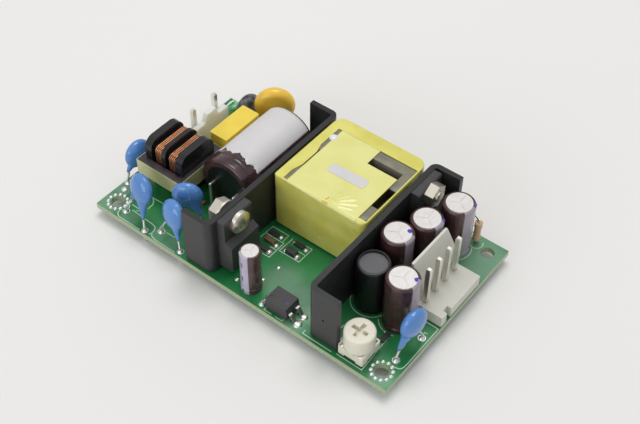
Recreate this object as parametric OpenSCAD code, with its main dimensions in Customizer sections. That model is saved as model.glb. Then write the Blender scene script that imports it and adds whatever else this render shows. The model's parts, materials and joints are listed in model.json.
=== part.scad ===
// Open frame switch-mode power supply: mains input, transformer and low-voltage output
// on one printed circuit board. Lengths are millimetres.
// Inside on_board() a place is given from the board's near left corner: X runs along the
// long edge towards the output, Y runs to the far edge and Z rises from the board's top
// face. The finished part has its origin in the middle of the mounting hole pattern, on
// the underside of the board.

/* [Circuit board] */
// Thickness of the board
board_t = 1.6; // [1:0.1:2.4]
// Diameter of a mounting hole
mount_hole_d = 3.5; // [2.7:0.1:4]
// Distance of a mounting hole's centre from both board edges
mount_inset = 3.75; // [3:0.05:4.5]
// Depth of the solder stubs under the board
stub_h = 2.2; // [1.8:0.1:3]
// Depth of the board strip in front of the transformer
front_strip = 22.9; // [22:0.1:30]
// Depth of the board strip behind the transformer
rear_strip = 1.7; // [1:0.1:4]
// Diameter of a component's wire lead
wire_d = 0.6; // [0.5:0.05:0.8]
// Solder pad's rim around a lead
pad_rim = 0.6; // [0.4:0.05:0.8]
// Solder dots around an earthed mounting hole
ring_dots = 12; // [6:1:16]

/* [Connectors] */
// Side of a square contact pin
pin_w = 1.14; // [0.9:0.02:1.2]
// Height of the contact pins above the board
pin_h = 14.3; // [12:0.1:16]
// Pitch of the contact pins
pin_pitch = 3.96; // [3.9:0.02:4.2]
// Pins in the output header
output_pin_count = 4; // [3:1:5]
// Thickness of a header's base
header_base_h = 3.2; // [2.5:0.1:4]
// Depth of a header's base
header_base_w = 8.5; // [8:0.1:9]
// Height of the output header's locking wall
output_wall_h = 15.3; // [13:0.1:16]
// Height of the inlet header's wall at its middle
inlet_wall_h = 11.5; // [10:0.1:14]
// Thickness of a header's wall
header_wall_t = 1.4; // [1:0.1:1.8]

/* [Common-mode choke] */
// Length of the ferrite frame
choke_l = 14.3; // [14:0.1:16]
// Width of the ferrite frame
choke_w = 16; // [15.5:0.1:18]
// Height of the ferrite's section
choke_core_h = 4.5; // [3.5:0.1:5.5]
// Width of the ferrite's outer legs
choke_leg_w = 2; // [1.6:0.1:2.2]
// Width of the ferrite's middle leg
choke_mid_leg_w = 4; // [3:0.1:4.2]
// Width of a bobbin flange
choke_flange_w = 11.6; // [11.2:0.1:12]
// Height of a bobbin flange
choke_flange_h = 14.7; // [14.4:0.1:17]
// Thickness of a bobbin flange
choke_flange_t = 1.2; // [0.8:0.05:1.3]
// Diameter of the enamelled winding wire
choke_wire_d = 0.5; // [0.35:0.01:0.55]
// Turns side by side in one winding
choke_turns = 5; // [3:1:5]
// Depth of one winding from its inside to its outside
choke_winding_t = 0.9; // [0.6:0.05:1]

/* [Heatsinks] */
// Thickness of the folded sheet
sink_t = 1.4; // [1:0.1:2]
// Height of a heatsink's upper edge above the board
sink_h = 16.8; // [16:0.1:20]
// Width of the folded sides
sink_side_w = 8.3; // [7:0.1:9]
// Outside radius of the folds
sink_bend_r = 2; // [2:0.1:3]

/* [Power packages] */
// Width of a power package
package_w = 9.6; // [9:0.1:10.2]
// Thickness of a power package at its body
package_t = 4.2; // [4:0.1:4.4]
// Thickness of its upper part, at the screw
package_tab_t = 2.3; // [2:0.1:3]
// Height of a power package's top above the board
package_top = 16.6; // [16:0.1:18]
// Diameter of the clamp screws
screw_d = 3; // [2.5:0.1:3]

/* [Transformer] */
// Length of the taped transformer
trafo_l = 26.6; // [26:0.1:30]
// Width of the taped transformer
trafo_w = 26.2; // [26:0.1:30]
// Height of the taped transformer
trafo_h = 17; // [16:0.1:20]
// Thickness of the wound tape band
tape_t = 0.35; // [0.2:0.05:0.6]
// Length of the ferrite
ferrite_l = 23.6; // [23:0.1:24]
// Width of the ferrite
ferrite_w = 21.4; // [21:0.1:22]
// Thickness of the ferrite's end walls
ferrite_wall = 3.2; // [2.5:0.1:3.5]
// Pins in each of the bobbin's two rows
trafo_pins = 5; // [3:1:6]

/* [Capacitors] */
// Diameter of the bulk capacitor
bulk_d = 16; // [14:0.1:18]
// Length of the bulk capacitor
bulk_l = 24.9; // [22:0.1:26]
// Diameter of an output capacitor
cap_d = 8; // [7.6:0.1:8.4]
// Height of an output capacitor
cap_h = 15.4; // [12:0.1:18]
// Diameter of the small start capacitor
start_cap_d = 5.1; // [4:0.1:6]
// Height of the small start capacitor
start_cap_h = 12.9; // [10:0.1:15]
// Length of the film capacitor
film_l = 12.7; // [12:0.1:14]
// Width of the film capacitor
film_w = 5.5; // [4:0.1:6]
// Height of the film capacitor
film_h = 11.8; // [10:0.1:14]
// Diameter of a blue disc capacitor
disc_d = 7.8; // [6.5:0.1:8]
// Thickness of a blue disc capacitor
disc_t = 3.8; // [3:0.1:4]

/* [Output filter and feedback] */
// Diameter of the filter inductor
inductor_d = 8; // [7:0.1:8.4]
// Height of the filter inductor
inductor_h = 13.9; // [12:0.1:16]
// Side of the trimmer's base
trimmer_w = 6.9; // [6.6:0.1:8]
// Diameter of the trimmer's rotor
rotor_d = 7.3; // [6.4:0.1:7.3]
// Height of the trimmer's rotor top above the board
rotor_top = 7.6; // [6.5:0.1:9]
// Length of the optocoupler's body
opto_l = 6.4; // [6:0.1:7]
// Width of the optocoupler's body
opto_w = 4.6; // [4:0.1:5]

/* [Mains protection] */
// Diameter of the varistor
varistor_d = 10.8; // [9:0.1:11]
// Thickness of the varistor
varistor_t = 3.6; // [3:0.1:4]
// Diameter of the inrush thermistor
ntc_d = 8.4; // [7:0.1:8.8]
// Thickness of the inrush thermistor
ntc_t = 3.4; // [3:0.1:3.8]
// Diameter of the line fuse
fuse_d = 3.4; // [2.6:0.1:3.6]

/* [Hidden] */

$fn = 48;
eps = 0.01;          // overshoot of a cut through a face
fit = 0.1;           // clearance of a piece that slides into another
lead_clear = 0.15;   // radial clearance of a lead in its hole
air = 0.3;           // clearance between neighbours that stand side by side
foil_t = 0.04;       // thickness of the tinned copper
wire_r = wire_d / 2;
ring_dot_r = 0.52;   // radius of a bead in an earth ring

// ---- Places along X, from the mains edge to the output edge ----
edge_gap = 0.15;                       // headers stand this far inside the board's edge
choke_x = 4.4;                         // left side of the choke's ferrite
choke_xc = choke_x + choke_l / 2;
bulk_x = choke_x + choke_l + 2 * air + bulk_d / 2;
film_x = bulk_x - bulk_d / 2 - air - film_w;
sink1_x = bulk_x + bulk_d / 2 + 1.5;   // far face of the primary heatsink's plate
trafo_x = sink1_x + sink_t + 0.4;
sink2_x = trafo_x + trafo_l + 0.8;
sink2_face = sink2_x + sink_t;
sink2_end = sink2_x + sink_side_w;
inductor_x = sink2_face + inductor_d / 2 + 0.4;
cap2_x = sink2_face + cap_d / 2 + 0.2;
cap1_x = inductor_x + inductor_d / 2 + cap_d / 2 + air;

// ---- Places along Y, from the near edge to the far edge ----
board_w = front_strip + trafo_w + rear_strip;
sink1_y = 0.6;
sink2_y = 1.3;
sink_l = board_w - sink1_y - sink2_y - 0.2;
choke_y = 11.3;
choke_yc = choke_y + choke_w / 2;
inlet_y = choke_y + choke_w + 1.1;
inlet_l = 3 * pin_pitch;
film_y = choke_y + choke_w + 0.9;
bulk_y = board_w - 7.4 - bulk_l;       // bung end of the bulk capacitor
trafo_y = front_strip;
device1_yc = 8.2;
sink_bend_in = sink_bend_r - sink_t;
device2_yc = sink2_y + sink_l - sink_t - sink_bend_in - fit - package_w / 2;
cap2_y = board_w - 23.5;
inductor_y = cap2_y - inductor_d / 2 - cap_d / 2 - 1.4;
cap_row_turn = 70.5;                   // direction of the slanted row of capacitors
cap3 = [cap2_x, cap2_y] + (cap_d + 0.2) * [cos(cap_row_turn), sin(cap_row_turn)];
cap4 = cap3 + (cap_d + 1.25) * [cos(cap_row_turn), sin(cap_row_turn)];
header_y = board_w - 29.25;
cap1_y = header_y - 0.25 - cap_d / 2;

header_l = output_pin_count * pin_pitch;
header_x = cap3[0] + cap_d / 2 + 1.9;
board_l = header_x + header_base_w + edge_gap;
inlet_x = edge_gap;

capacitor_places = [[cap1_x, cap1_y], [cap2_x, cap2_y], cap3, cap4];
cap_pitch = 3.5;
start_cap_at = [sink1_x + sink_t + package_t + 2.6 + start_cap_d / 2, 3.9];
start_cap_pitch = 2;

// ---- Contact pins ----
inlet_pin_x = 5.9;
inlet_pin_h = pin_h - 0.9;
inlet_pins = [for (i = [0, 2]) [inlet_pin_x, inlet_y + inlet_l / 2 + (i - 1) * pin_pitch]];
output_pin_x = header_x + 2.6;
output_pins = [
  for (i = [0:output_pin_count - 1])
    [output_pin_x, header_y + (i + 0.5) * pin_pitch]
];

// ---- Choke ----
choke_z = 5;                                     // underside of the ferrite
choke_zc = choke_z + choke_core_h / 2;
choke_flange_z = 0.5;
choke_flange_pitch = (choke_l - 2 * 1.9 - choke_flange_t) / 2 - 0.1;
choke_flange_r = 2.8;
choke_tube_w = choke_mid_leg_w + 5;
choke_tube_h = choke_core_h + 6.9;
choke_tube_r = 0.4;
choke_rim_t = 0.9;       // extra thickness of an outer flange above the ferrite
choke_winding_w = choke_turns * choke_wire_d;
choke_tape_t = 0.12;
choke_pin_d = 0.7;
choke_pin_y = 4;
choke_pins_at = [
  for (sx = [-1, 1], sy = [-1, 1])
    [choke_xc + sx * choke_flange_pitch, choke_yc + sy * choke_pin_y]
];

// ---- Heatsinks and power packages ----
sink_z = 0.5;
tab_w = 1.6;
tab_inset = 16;
package_z = 1.5;
package_bevel_z = 9.7;
package_bevel_h = 1.1;
screw_z = 14.3;
screw_head_r = 0.95 * screw_d;
screw_head_h = 0.65 * screw_d;
nut_r = 1.04 * screw_d;
nut_t = 0.8 * screw_d;
washer_t = 0.5;
leg_w = 0.75;
leg_t = 0.5;
leg_pitch = 2.54;
leg_x = 2.5;                                     // legs' distance from the heatsink
device_legs = [
  for (d = [[sink1_x + sink_t, device1_yc], [sink2_face, device2_yc]], i = [-1:1])
    [d[0] + leg_x, d[1] + i * leg_pitch]
];
sink_tabs = [
  for (s = [[sink1_x, sink1_y], [sink2_x, sink2_y]], y = [tab_inset, sink_l - tab_inset])
    [s[0] + sink_t / 2, s[1] + y]
];

// ---- Transformer ----
trafo_corner_r = 3;
ferrite_x = trafo_x + trafo_l - tape_t - ferrite_l;
ferrite_y = trafo_y + tape_t;
ferrite_z = 5;
ferrite_top = trafo_h - 0.2;
ferrite_leg = 2.2;
ferrite_mid = 6;
trafo_pin_d = 0.7;
trafo_pin_pitch = 3.8;
trafo_pins_at = [
  for (row = [0, 1], i = [0:trafo_pins - 1])
    [trafo_x + trafo_l / 2 + (i - (trafo_pins - 1) / 2) * trafo_pin_pitch,
     row == 0 ? trafo_y + 2 : trafo_y + trafo_w - 2]
];
bobbin_base_h = 3.4;
leg_notch_y = ferrite_y + 0.27 * ferrite_w;      // notch ground into each outer leg
leg_notch_w = 0.33 * ferrite_w;
leg_notch_depth = 3;
winding_below = 2.2;                             // winding's top under the ferrite's

// ---- Optocoupler, trimmer and other small parts ----
opto_row = 7.62;
opto_at = [start_cap_at[0] + start_cap_d / 2 + 3.4 + opto_row / 2, 3.2];
opto_z = 0.5;
opto_top = 4.1;
opto_pitch = 2.54;
opto_legs_at = [
  for (sx = [-1, 1], sy = [-1, 1])
    [opto_at[0] + sx * opto_row / 2, opto_at[1] + sy * opto_pitch / 2]
];
trimmer_at = [sink2_end + 0.2 + trimmer_w / 2, 1.4 + trimmer_w / 2];
trimmer_base_z = 0.4;
trimmer_base_top = 3;
trimmer_floor = 1.8;                             // floor inside the trimmer's base
trimmer_wall = 0.5;
trimmer_ledge = 1.1;                             // width of the ledge along the near side
trimmer_pin_inset = 1.1;
trimmer_pins_at = [
  for (s = [[-1, -1], [1, -1], [0, 1]])
    trimmer_at + s * (trimmer_w / 2 - trimmer_pin_inset)
];
bulk_lead_d = 0.8;
bulk_lead_pitch = 7.5;
bulk_lead_y = bulk_y - 1.6;
bulk_z = bulk_d / 2 + air;
bulk_feet = [for (s = [-1, 1]) [bulk_x + s * bulk_lead_pitch / 2, bulk_lead_y]];
film_at = [film_x + film_w / 2, film_y + film_l / 2];
film_pitch = 10;
resistor_at = cap4 + [3.6, 4.5];
resistor_d = 2;
resistor_z = 1.2;
resistor_h = 6;
resistor_foot = resistor_at + [-2.4, 1.2];
fuse_at = [7.1, inlet_y + inlet_l + 3.9];
fuse_z = 1.6;
fuse_h = 5;
fuse_foot = fuse_at - [0, fuse_d / 2 + 0.9];

// Standing discs: place of the centre, turn about Z, lean to the back, place of both feet
varistor_c = [18, board_w - 2.6, 9.3];
varistor_turn = 39;
varistor_pitch = 5;
ntc_c = [10.9, board_w - 5.2, 5.8];
ntc_turn = 90;
ntc_pitch = 5;
function along(c, turn, d) = [c[0] + d * cos(turn), c[1] + d * sin(turn)];
varistor_feet = [for (s = [-1, 1]) along(varistor_c, varistor_turn, s * varistor_pitch / 2)];
ntc_feet = [for (s = [-1, 1]) along(ntc_c, ntc_turn, s * ntc_pitch / 2)];

// Blue discs: [centre, foot of the coated lead, foot of the bare lead, lean], where a
// positive lean tips the disc's top to the left of the way from the first foot to the second
blue_discs = [
  [[1.95, 13.8, 8.1], [1.1, 10], [1.3, 17.7], 0],
  [[choke_x + choke_l + 3.2, 10.6, 8.6], [26.2, 11.2], [20.4, 7.7], 0],
  [[12.4, 4.6, 9.5], [15.8, 0.95], [7.7, 2.7], -15],
  [[23.5, 4, 8.4], [27.2, 1.35], [19.2, 3.2], -12],
  [[board_l - 2.25, 12.6, 9.2], [board_l - 2.9, 7.9], [board_l - 1.85, 16.4], 0]
];
tail_r = 0.55;                                   // radius of the coating where a lead leaves
tail_z = [3.9, 5.4];                             // heights where the coated and bare leads leave

disc_feet = [for (d = blue_discs, i = [1, 2]) d[i]];

// Every round lead through the board: [place, diameter]
round_leads = concat(
  [for (p = disc_feet) [p, wire_d]],
  [for (p = varistor_feet) [p, wire_d]],
  [for (p = ntc_feet) [p, wire_d]],
  [for (p = [fuse_at, fuse_foot, resistor_at, resistor_foot]) [p, wire_d]],
  [for (s = [-1, 1]) [film_at + [0, s * film_pitch / 2], wire_d]],
  [for (c = capacitor_places, s = [-1, 1]) [c + [s * cap_pitch / 2, 0], wire_d]],
  [for (s = [-1, 1]) [start_cap_at + [s * start_cap_pitch / 2, 0], wire_d]],
  [for (s = [-1, 1]) [[inductor_x, inductor_y + s * 2.5], wire_d]],
  [for (p = bulk_feet) [p, bulk_lead_d]],
  [for (p = choke_pins_at) [p, choke_pin_d]],
  [for (p = trafo_pins_at) [p, trafo_pin_d]]
);
// Leads whose pads can be seen on the top face
open_leads = concat(
  [for (p = disc_feet) [p, wire_d]],
  [for (p = varistor_feet) [p, wire_d]],
  [for (p = ntc_feet) [p, wire_d]],
  [for (p = [fuse_foot, resistor_foot]) [p, wire_d]],
  [for (p = bulk_feet) [p, bulk_lead_d]]
);
// Flat and square leads: [place, size of the hole]
flat_leads = concat(
  [for (p = concat(inlet_pins, output_pins)) [p, pin_w * sqrt(2)]],
  [for (p = device_legs) [p, leg_w * 1.2]],
  [for (p = opto_legs_at) [p, 0.6]],
  [for (p = trimmer_pins_at) [p, 0.9]]
);
mount_holes = [
  for (x = [mount_inset, board_l - mount_inset], y = [mount_inset, board_w - mount_inset])
    [x, y]
];
ringed_holes = [mount_holes[0], mount_holes[2]];

// ---- Helpers ----
module on_board() translate([-board_l / 2, -board_w / 2, board_t]) children();

module at(p, z = 0) translate([p[0], p[1], z]) children();

module box(x, y, z, l, w, h) translate([x, y, z]) cube([l, w, h]);

// Rectangle with round corners, from its own corner
module round_rect(l, w, r) {
  translate([r, 0]) square([l - 2 * r, w]);
  translate([0, r]) square([l, w - 2 * r]);
  for (x = [r, l - r], y = [r, w - r]) translate([x, y]) circle(r);
}

// Straight rod between two points
module rod(p, q, r) {
  v = q - p;
  n = norm(v);
  translate(p) rotate([0, acos(v[2] / n), atan2(v[1], v[0])]) cylinder(r = r, h = n);
}

// Bent wire through a list of points
module wire(points, r) {
  for (i = [0:len(points) - 2]) rod(points[i], points[i + 1], r);
  if (len(points) > 2)
    for (i = [1:len(points) - 2]) translate(points[i]) sphere(r * 1.15);
}

function point(p, z) = [p[0], p[1], z];

// Low dome of solder
module solder_dome(r, h) {
  ball = (r * r + h * h) / (2 * h);
  rotate_extrude() intersection() {
    square([r, h]);
    translate([0, h - ball]) circle(ball);
  }
}

// ---- Board ----
module circuit_board() color("seagreen") on_board() difference() {
  box(0, 0, -board_t, board_l, board_w, board_t);
  for (p = mount_holes) at(p, -board_t - eps) cylinder(d = mount_hole_d, h = board_t + 2 * eps);
  for (l = round_leads)
    at(l[0], -board_t - eps) cylinder(d = l[1] + 2 * lead_clear, h = board_t + 2 * eps, $fn = 24);
  for (l = flat_leads)
    at(l[0], -board_t - eps) cylinder(d = l[1] + lead_clear, h = board_t + 2 * eps, $fn = 24);
  for (p = sink_tabs)
    box(p[0] - sink_t / 2 - fit, p[1] - tab_w / 2 - fit, -board_t - eps,
        sink_t + 2 * fit, tab_w + 2 * fit, board_t + 2 * eps);
}

// Tinned rings and solder collars on the top face, and the earth rings' dots
module tinned_pads() color("silver") on_board() {
  for (l = open_leads) at(l[0]) rotate_extrude($fn = 24) {
    translate([l[1] / 2 + 0.02, 0]) square([pad_rim, foil_t]);
    polygon([[l[1] / 2 + 0.02, 0], [l[1] / 2 + pad_rim * 0.8, foil_t],
             [l[1] / 2 + 0.12, 0.55], [l[1] / 2 + 0.02, 0.6]]);
  }
  for (p = ringed_holes, i = [0:ring_dots - 1])
    at(p) rotate([0, 0, i * 360 / ring_dots]) translate([mount_hole_d / 2 + 0.7, 0])
      solder_dome(ring_dot_r, 0.35, $fn = 16);
}

// Solder cones and cut lead ends under the board
module solder_cone(d) {
  mirror([0, 0, 1]) rotate_extrude($fn = 24)
    polygon([[0, 0], [d / 2 + pad_rim, 0], [d / 2 + 0.2, 1.2], [d / 2, 1.3], [d / 2, stub_h],
             [0, stub_h]]);
}
module solder_joints() color("silver") on_board() {
  for (l = round_leads) at(l[0], -board_t) solder_cone(l[1]);
  for (l = flat_leads) at(l[0], -board_t) solder_cone(l[1] * 0.8);
  for (p = sink_tabs) at(p, -board_t) solder_cone(sink_t);
}

// ---- Headers ----
module square_pins(places, h) for (p = places) {
  box(p[0] - pin_w / 2, p[1] - pin_w / 2, -board_t, pin_w, pin_w, board_t + h - 0.5);
  translate([p[0], p[1], h - 0.5])
    rotate([0, 0, 45]) cylinder(d1 = pin_w * sqrt(2), d2 = pin_w, h = 0.5, $fn = 4);
}

module pin_slots(places) for (p = places)
  box(p[0] - pin_w / 2 - 0.02, p[1] - pin_w / 2 - 0.02, -eps,
      pin_w + 0.04, pin_w + 0.04, header_base_h + 2 * eps);

module ac_inlet_pins() color("gainsboro") on_board() square_pins(inlet_pins, inlet_pin_h);

module ac_inlet_header() color("whitesmoke") on_board() {
  wall_x = inlet_x + header_base_w - header_wall_t;
  hump = 3.2;
  shoulder_h = inlet_wall_h - 2.4;
  difference() {
    box(inlet_x, inlet_y, 0, header_base_w, inlet_l, header_base_h);
    pin_slots(inlet_pins);
  }
  translate([wall_x, inlet_y, header_base_h]) {
    cube([header_wall_t, inlet_l, shoulder_h - header_base_h]);
    translate([0, inlet_l / 2, 0]) rotate([90, 0, 90])
      linear_extrude(header_wall_t) polygon([
        [-hump / 2 - 1, shoulder_h - header_base_h], [hump / 2 + 1, shoulder_h - header_base_h],
        [hump / 2, inlet_wall_h - header_base_h], [-hump / 2, inlet_wall_h - header_base_h]]);
  }
}

module output_pins() color("gainsboro") on_board() square_pins(output_pins, pin_h);

module output_header() color("whitesmoke") on_board() {
  wall_lean = 1.5;
  edge_t = 0.6;
  shoulder = 9;
  slope = 2.1;
  difference() {
    box(header_x, header_y, 0, header_base_w, header_l, header_base_h);
    pin_slots(output_pins);
    box(header_x + header_base_w - 1.2, header_y + 2, -eps, 1.2 + eps, 1.8,
        header_base_h + 2 * eps);
  }
  // The locking wall leans away from the pins and narrows above its shoulders
  intersection() {
    translate([header_x, header_y, header_base_h]) rotate([90, 0, 0]) mirror([0, 0, 1])
      linear_extrude(header_l) polygon([
        [0.4, 0], [0.4 + header_wall_t, 0],
        [0.4 - wall_lean + edge_t, output_wall_h - header_base_h],
        [0.4 - wall_lean, output_wall_h - header_base_h]]);
    translate([header_x - 3, header_y, 0]) rotate([90, 0, 90]) linear_extrude(8) polygon([
      [0, 0], [header_l, 0], [header_l, shoulder], [header_l - slope, output_wall_h],
      [0.3, output_wall_h], [0, shoulder]]);
  }
}

// ---- Mains protection ----
module line_fuse() color("mediumseagreen") on_board() at(fuse_at, fuse_z) rotate_extrude()
  intersection() {
    square([fuse_d / 2, fuse_h]);
    union() {
      translate([0, 0.8]) square([fuse_d / 2, fuse_h - 1.6]);
      for (z = [1, fuse_h - 1]) translate([fuse_d / 2 - 1, z]) circle(1);
      square([fuse_d / 2 - 1, fuse_h]);
    }
  }

// Half section of a disc with a fully round rim
module disc_section(d, t) {
  square([d / 2 - t / 2, t / 2]);
  intersection() {
    translate([d / 2 - t / 2, 0]) circle(t / 2);
    square([d / 2, t / 2]);
  }
}
module round_disc(d, t) rotate([90, 0, 0]) rotate_extrude() {
  disc_section(d, t);
  mirror([0, 1]) disc_section(d, t);
}

module standing_disc(c, turn, d, t, pitch) translate(c) rotate([0, 0, turn]) {
  root_z = sqrt(pow(d / 2, 2) - pow(pitch / 2, 2));
  round_disc(d, t);
  for (s = [-1, 1]) translate([s * pitch / 2, 0, -root_z - 1])
    cylinder(r1 = wire_r + 0.1, r2 = t / 3, h = 1 + t / 3);
}
module inrush_thermistor() color("dimgray") on_board()
  standing_disc(ntc_c, ntc_turn, ntc_d, ntc_t, ntc_pitch);
module surge_varistor() color("goldenrod") on_board()
  standing_disc(varistor_c, varistor_turn, varistor_d, varistor_t, varistor_pitch);

function disc_root(c, d, pitch) = c[2] - sqrt(pow(d / 2, 2) - pow(pitch / 2, 2)) - 1;

module film_capacitor() color("gold") on_board() translate([film_x, film_y, 0])
  linear_extrude(film_h) round_rect(film_w, film_l, 0.4);

// ---- Common-mode choke ----
module choke_half_core() difference() {
  box(choke_x, choke_y, choke_z, choke_l / 2, choke_w, choke_core_h);
  for (s = [-1, 1]) {
    window_w = choke_w / 2 - choke_leg_w - choke_mid_leg_w / 2;
    near = choke_yc + s * (choke_mid_leg_w / 2 + window_w / 2);
    box(choke_x + 1.8, near - window_w / 2, choke_z - eps,
        choke_l, window_w, choke_core_h + 2 * eps);
  }
}
module choke_core() color("darkslategray") on_board() {
  choke_half_core();
  translate([2 * choke_xc, 0, 0]) mirror([1, 0, 0]) choke_half_core();
}

module choke_tape() color("palegoldenrod") on_board()
  translate([0, 0, choke_z]) linear_extrude(choke_core_h) difference() {
    translate([choke_x - choke_tape_t, choke_y - choke_tape_t])
      square([choke_l + 2 * choke_tape_t, choke_w + 2 * choke_tape_t]);
    translate([choke_x, choke_y]) square([choke_l, choke_w]);
  }

// Section across the choke's middle leg, centred on that leg
module tube_outline(grow = 0) {
  w = choke_tube_w + 2 * grow;
  h = choke_tube_h + 2 * grow;
  translate([-w / 2, -h / 2]) round_rect(w, h, choke_tube_r + grow);
}
module across_choke(x, t) translate([x, choke_yc, choke_zc]) rotate([90, 0, 90])
  linear_extrude(t) children();

module flange_outline() translate([-choke_flange_w / 2, choke_flange_z - choke_zc])
  round_rect(choke_flange_w, choke_flange_h, choke_flange_r);

module choke_bobbin() color("black") on_board() {
  tube_l = 2 * choke_flange_pitch;
  rim_x = choke_flange_pitch + choke_flange_t / 2 + choke_rim_t / 2;
  difference() {
    union() {
      for (i = [-1:1])
        across_choke(choke_xc + i * choke_flange_pitch - choke_flange_t / 2, choke_flange_t)
          flange_outline();
      for (s = [-1, 1]) across_choke(choke_xc + s * rim_x - choke_rim_t / 2, choke_rim_t)
        intersection() {
          flange_outline();
          translate([-choke_flange_w / 2, choke_core_h / 2 + fit])
            square([choke_flange_w, choke_flange_h]);
        }
      across_choke(choke_xc - tube_l / 2, tube_l) tube_outline();
      for (p = choke_pins_at)
        box(p[0] - choke_flange_t / 2, p[1] - 1.1, 0, choke_flange_t, 2.2, choke_flange_z + 2.2);
    }
    across_choke(choke_xc - choke_l, 2 * choke_l)
      square([choke_mid_leg_w + 2 * fit, choke_core_h + 2 * fit], center = true);
    for (p = choke_pins_at) at(p, -eps) cylinder(d = choke_pin_d, h = 2.4, $fn = 24);
  }
}

module choke_pins() color("silver") on_board() for (p = choke_pins_at)
  at(p, -board_t) cylinder(d = choke_pin_d, h = board_t + 2.2, $fn = 24);

// Ridged section of one winding: flat inside, one ridge for each turn outside
module winding_section() {
  r = choke_wire_d / 2;
  square([choke_winding_w, choke_winding_t - r]);
  for (i = [0:choke_turns - 1])
    translate([(i + 0.5) * choke_wire_d, choke_winding_t - r]) circle(r, $fn = 20);
}
// One winding of enamelled wire round the bobbin's tube: four straight runs, four corners
module choke_winding(x) translate([x, choke_yc, choke_zc]) {
  run_w = choke_tube_w - 2 * choke_tube_r;
  run_h = choke_tube_h - 2 * choke_tube_r;
  for (s = [0, 180]) rotate([s, 0, 0]) {
    translate([0, run_w / 2, choke_tube_h / 2]) rotate([90, 0, 0])
      linear_extrude(run_w) winding_section();
    translate([0, -choke_tube_w / 2, run_h / 2]) rotate([180, 0, 0])
      linear_extrude(run_h) winding_section();
  }
  for (q = [0, 90, 180, 270]) {
    side = (q == 0 || q == 180) ? [run_w / 2, run_h / 2] : [run_h / 2, run_w / 2];
    rotate([q, 0, 0]) translate([0, side[0], side[1]]) rotate([0, 90, 0])
      rotate([0, 0, 90]) rotate_extrude(angle = 90)
        translate([choke_tube_r, 0]) rotate([0, 0, 90]) mirror([0, 1]) winding_section();
  }
}
module choke_windings() color("chocolate") on_board() for (i = [0, 1])
  choke_winding(choke_xc + i * choke_flange_pitch - choke_flange_t / 2 - 0.05
                - choke_winding_w);

// ---- Blue disc capacitors ----
function turn_of(d) = atan2(d[2][1] - d[1][1], d[2][0] - d[1][0]);
function tail_at(d, i) = let (f = d[i], c = d[0], k = [0.14, 0.4][i - 1])
  [f[0] + k * (c[0] - f[0]), f[1] + k * (c[1] - f[1]), tail_z[i - 1]];

module blue_disc(d) color("cornflowerblue") on_board() for (i = [1, 2]) hull() {
  translate(d[0]) rotate([0, 0, turn_of(d)]) rotate([-d[3], 0, 0])
    round_disc(disc_d, disc_t, $fn = 28);
  translate(tail_at(d, i)) sphere(tail_r, $fn = 16);
}
module disc_capacitor_1() blue_disc(blue_discs[0]);
module disc_capacitor_2() blue_disc(blue_discs[1]);
module disc_capacitor_3() blue_disc(blue_discs[2]);
module disc_capacitor_4() blue_disc(blue_discs[3]);
module disc_capacitor_5() blue_disc(blue_discs[4]);

// Wire leads of every part that stands on its own leads
module component_leads() color("silver") on_board() {
  floor_z = -board_t;
  for (d = blue_discs, i = [1, 2]) {
    top = tail_at(d, i) - [0, 0, tail_r + 0.05];
    wire([top, top - [0, 0, 0.4], point(d[i], 1.4), point(d[i], floor_z)], wire_r, $fn = 20);
  }
  for (p = varistor_feet) rod(point(p, floor_z),
    point(p, disc_root(varistor_c, varistor_d, varistor_pitch)), wire_r, $fn = 20);
  for (p = ntc_feet)
    rod(point(p, floor_z), point(p, disc_root(ntc_c, ntc_d, ntc_pitch)), wire_r, $fn = 20);
  for (s = [-1, 1])
    rod(point(film_at + [0, s * film_pitch / 2], floor_z),
        point(film_at + [0, s * film_pitch / 2], 0), wire_r, $fn = 20);
  for (c = capacitor_places, s = [-1, 1])
    rod(point(c + [s * cap_pitch / 2, 0], floor_z), point(c + [s * cap_pitch / 2, 0], 0),
        wire_r, $fn = 20);
  for (s = [-1, 1]) {
    a = start_cap_at + [s * start_cap_pitch / 2, 0];
    rod(point(a, floor_z), point(a, 0), wire_r, $fn = 20);
    b = [inductor_x, inductor_y + s * 2.5];
    rod(point(b, floor_z), point(b, 0), wire_r, $fn = 20);
  }
  for (u = [[fuse_at, fuse_foot, fuse_z, fuse_h],
            [resistor_at, resistor_foot, resistor_z, resistor_h]]) {
    rod(point(u[0], floor_z), point(u[0], u[2]), wire_r, $fn = 20);
    top = u[2] + u[3];
    wire([point(u[0], top), point(u[0], top + 0.7), point(u[1], top + 0.7),
          point(u[1], floor_z)], wire_r, $fn = 20);
  }
}

// ---- Bulk capacitor, lying along Y ----
module lying(y) translate([bulk_x, y, bulk_z]) rotate([-90, 0, 0]) children();

module bulk_capacitor() color("saddlebrown") on_board() lying(bulk_y)
  rotate_extrude($fn = 96) difference() {
    union() {
      translate([0, 0.8]) square([bulk_d / 2, bulk_l - 1.6]);
      square([bulk_d / 2 - 0.8, bulk_l]);
      for (z = [0.8, bulk_l - 0.8]) translate([bulk_d / 2 - 0.8, z]) circle(0.8);
    }
    translate([-eps, -eps]) square([bulk_d / 2 - 1.9 + eps, 0.8 + eps]);
    translate([bulk_d / 2 + 0.9, 2.9]) circle(1.2);
  }

module bulk_capacitor_bung() color("black") on_board() lying(bulk_y) difference() {
  cylinder(d = bulk_d - 3.8, h = 0.8, $fn = 64);
  for (s = [-1, 1]) translate([s * bulk_lead_pitch / 2, 0, -eps])
    cylinder(d = bulk_lead_d, h = 1);
}

module bulk_capacitor_leads() color("silver") on_board() for (p = bulk_feet)
  wire([[p[0], bulk_y + 0.8, bulk_z], [p[0], p[1], bulk_z], [p[0], p[1], -board_t]],
       bulk_lead_d / 2, $fn = 24);

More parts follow.
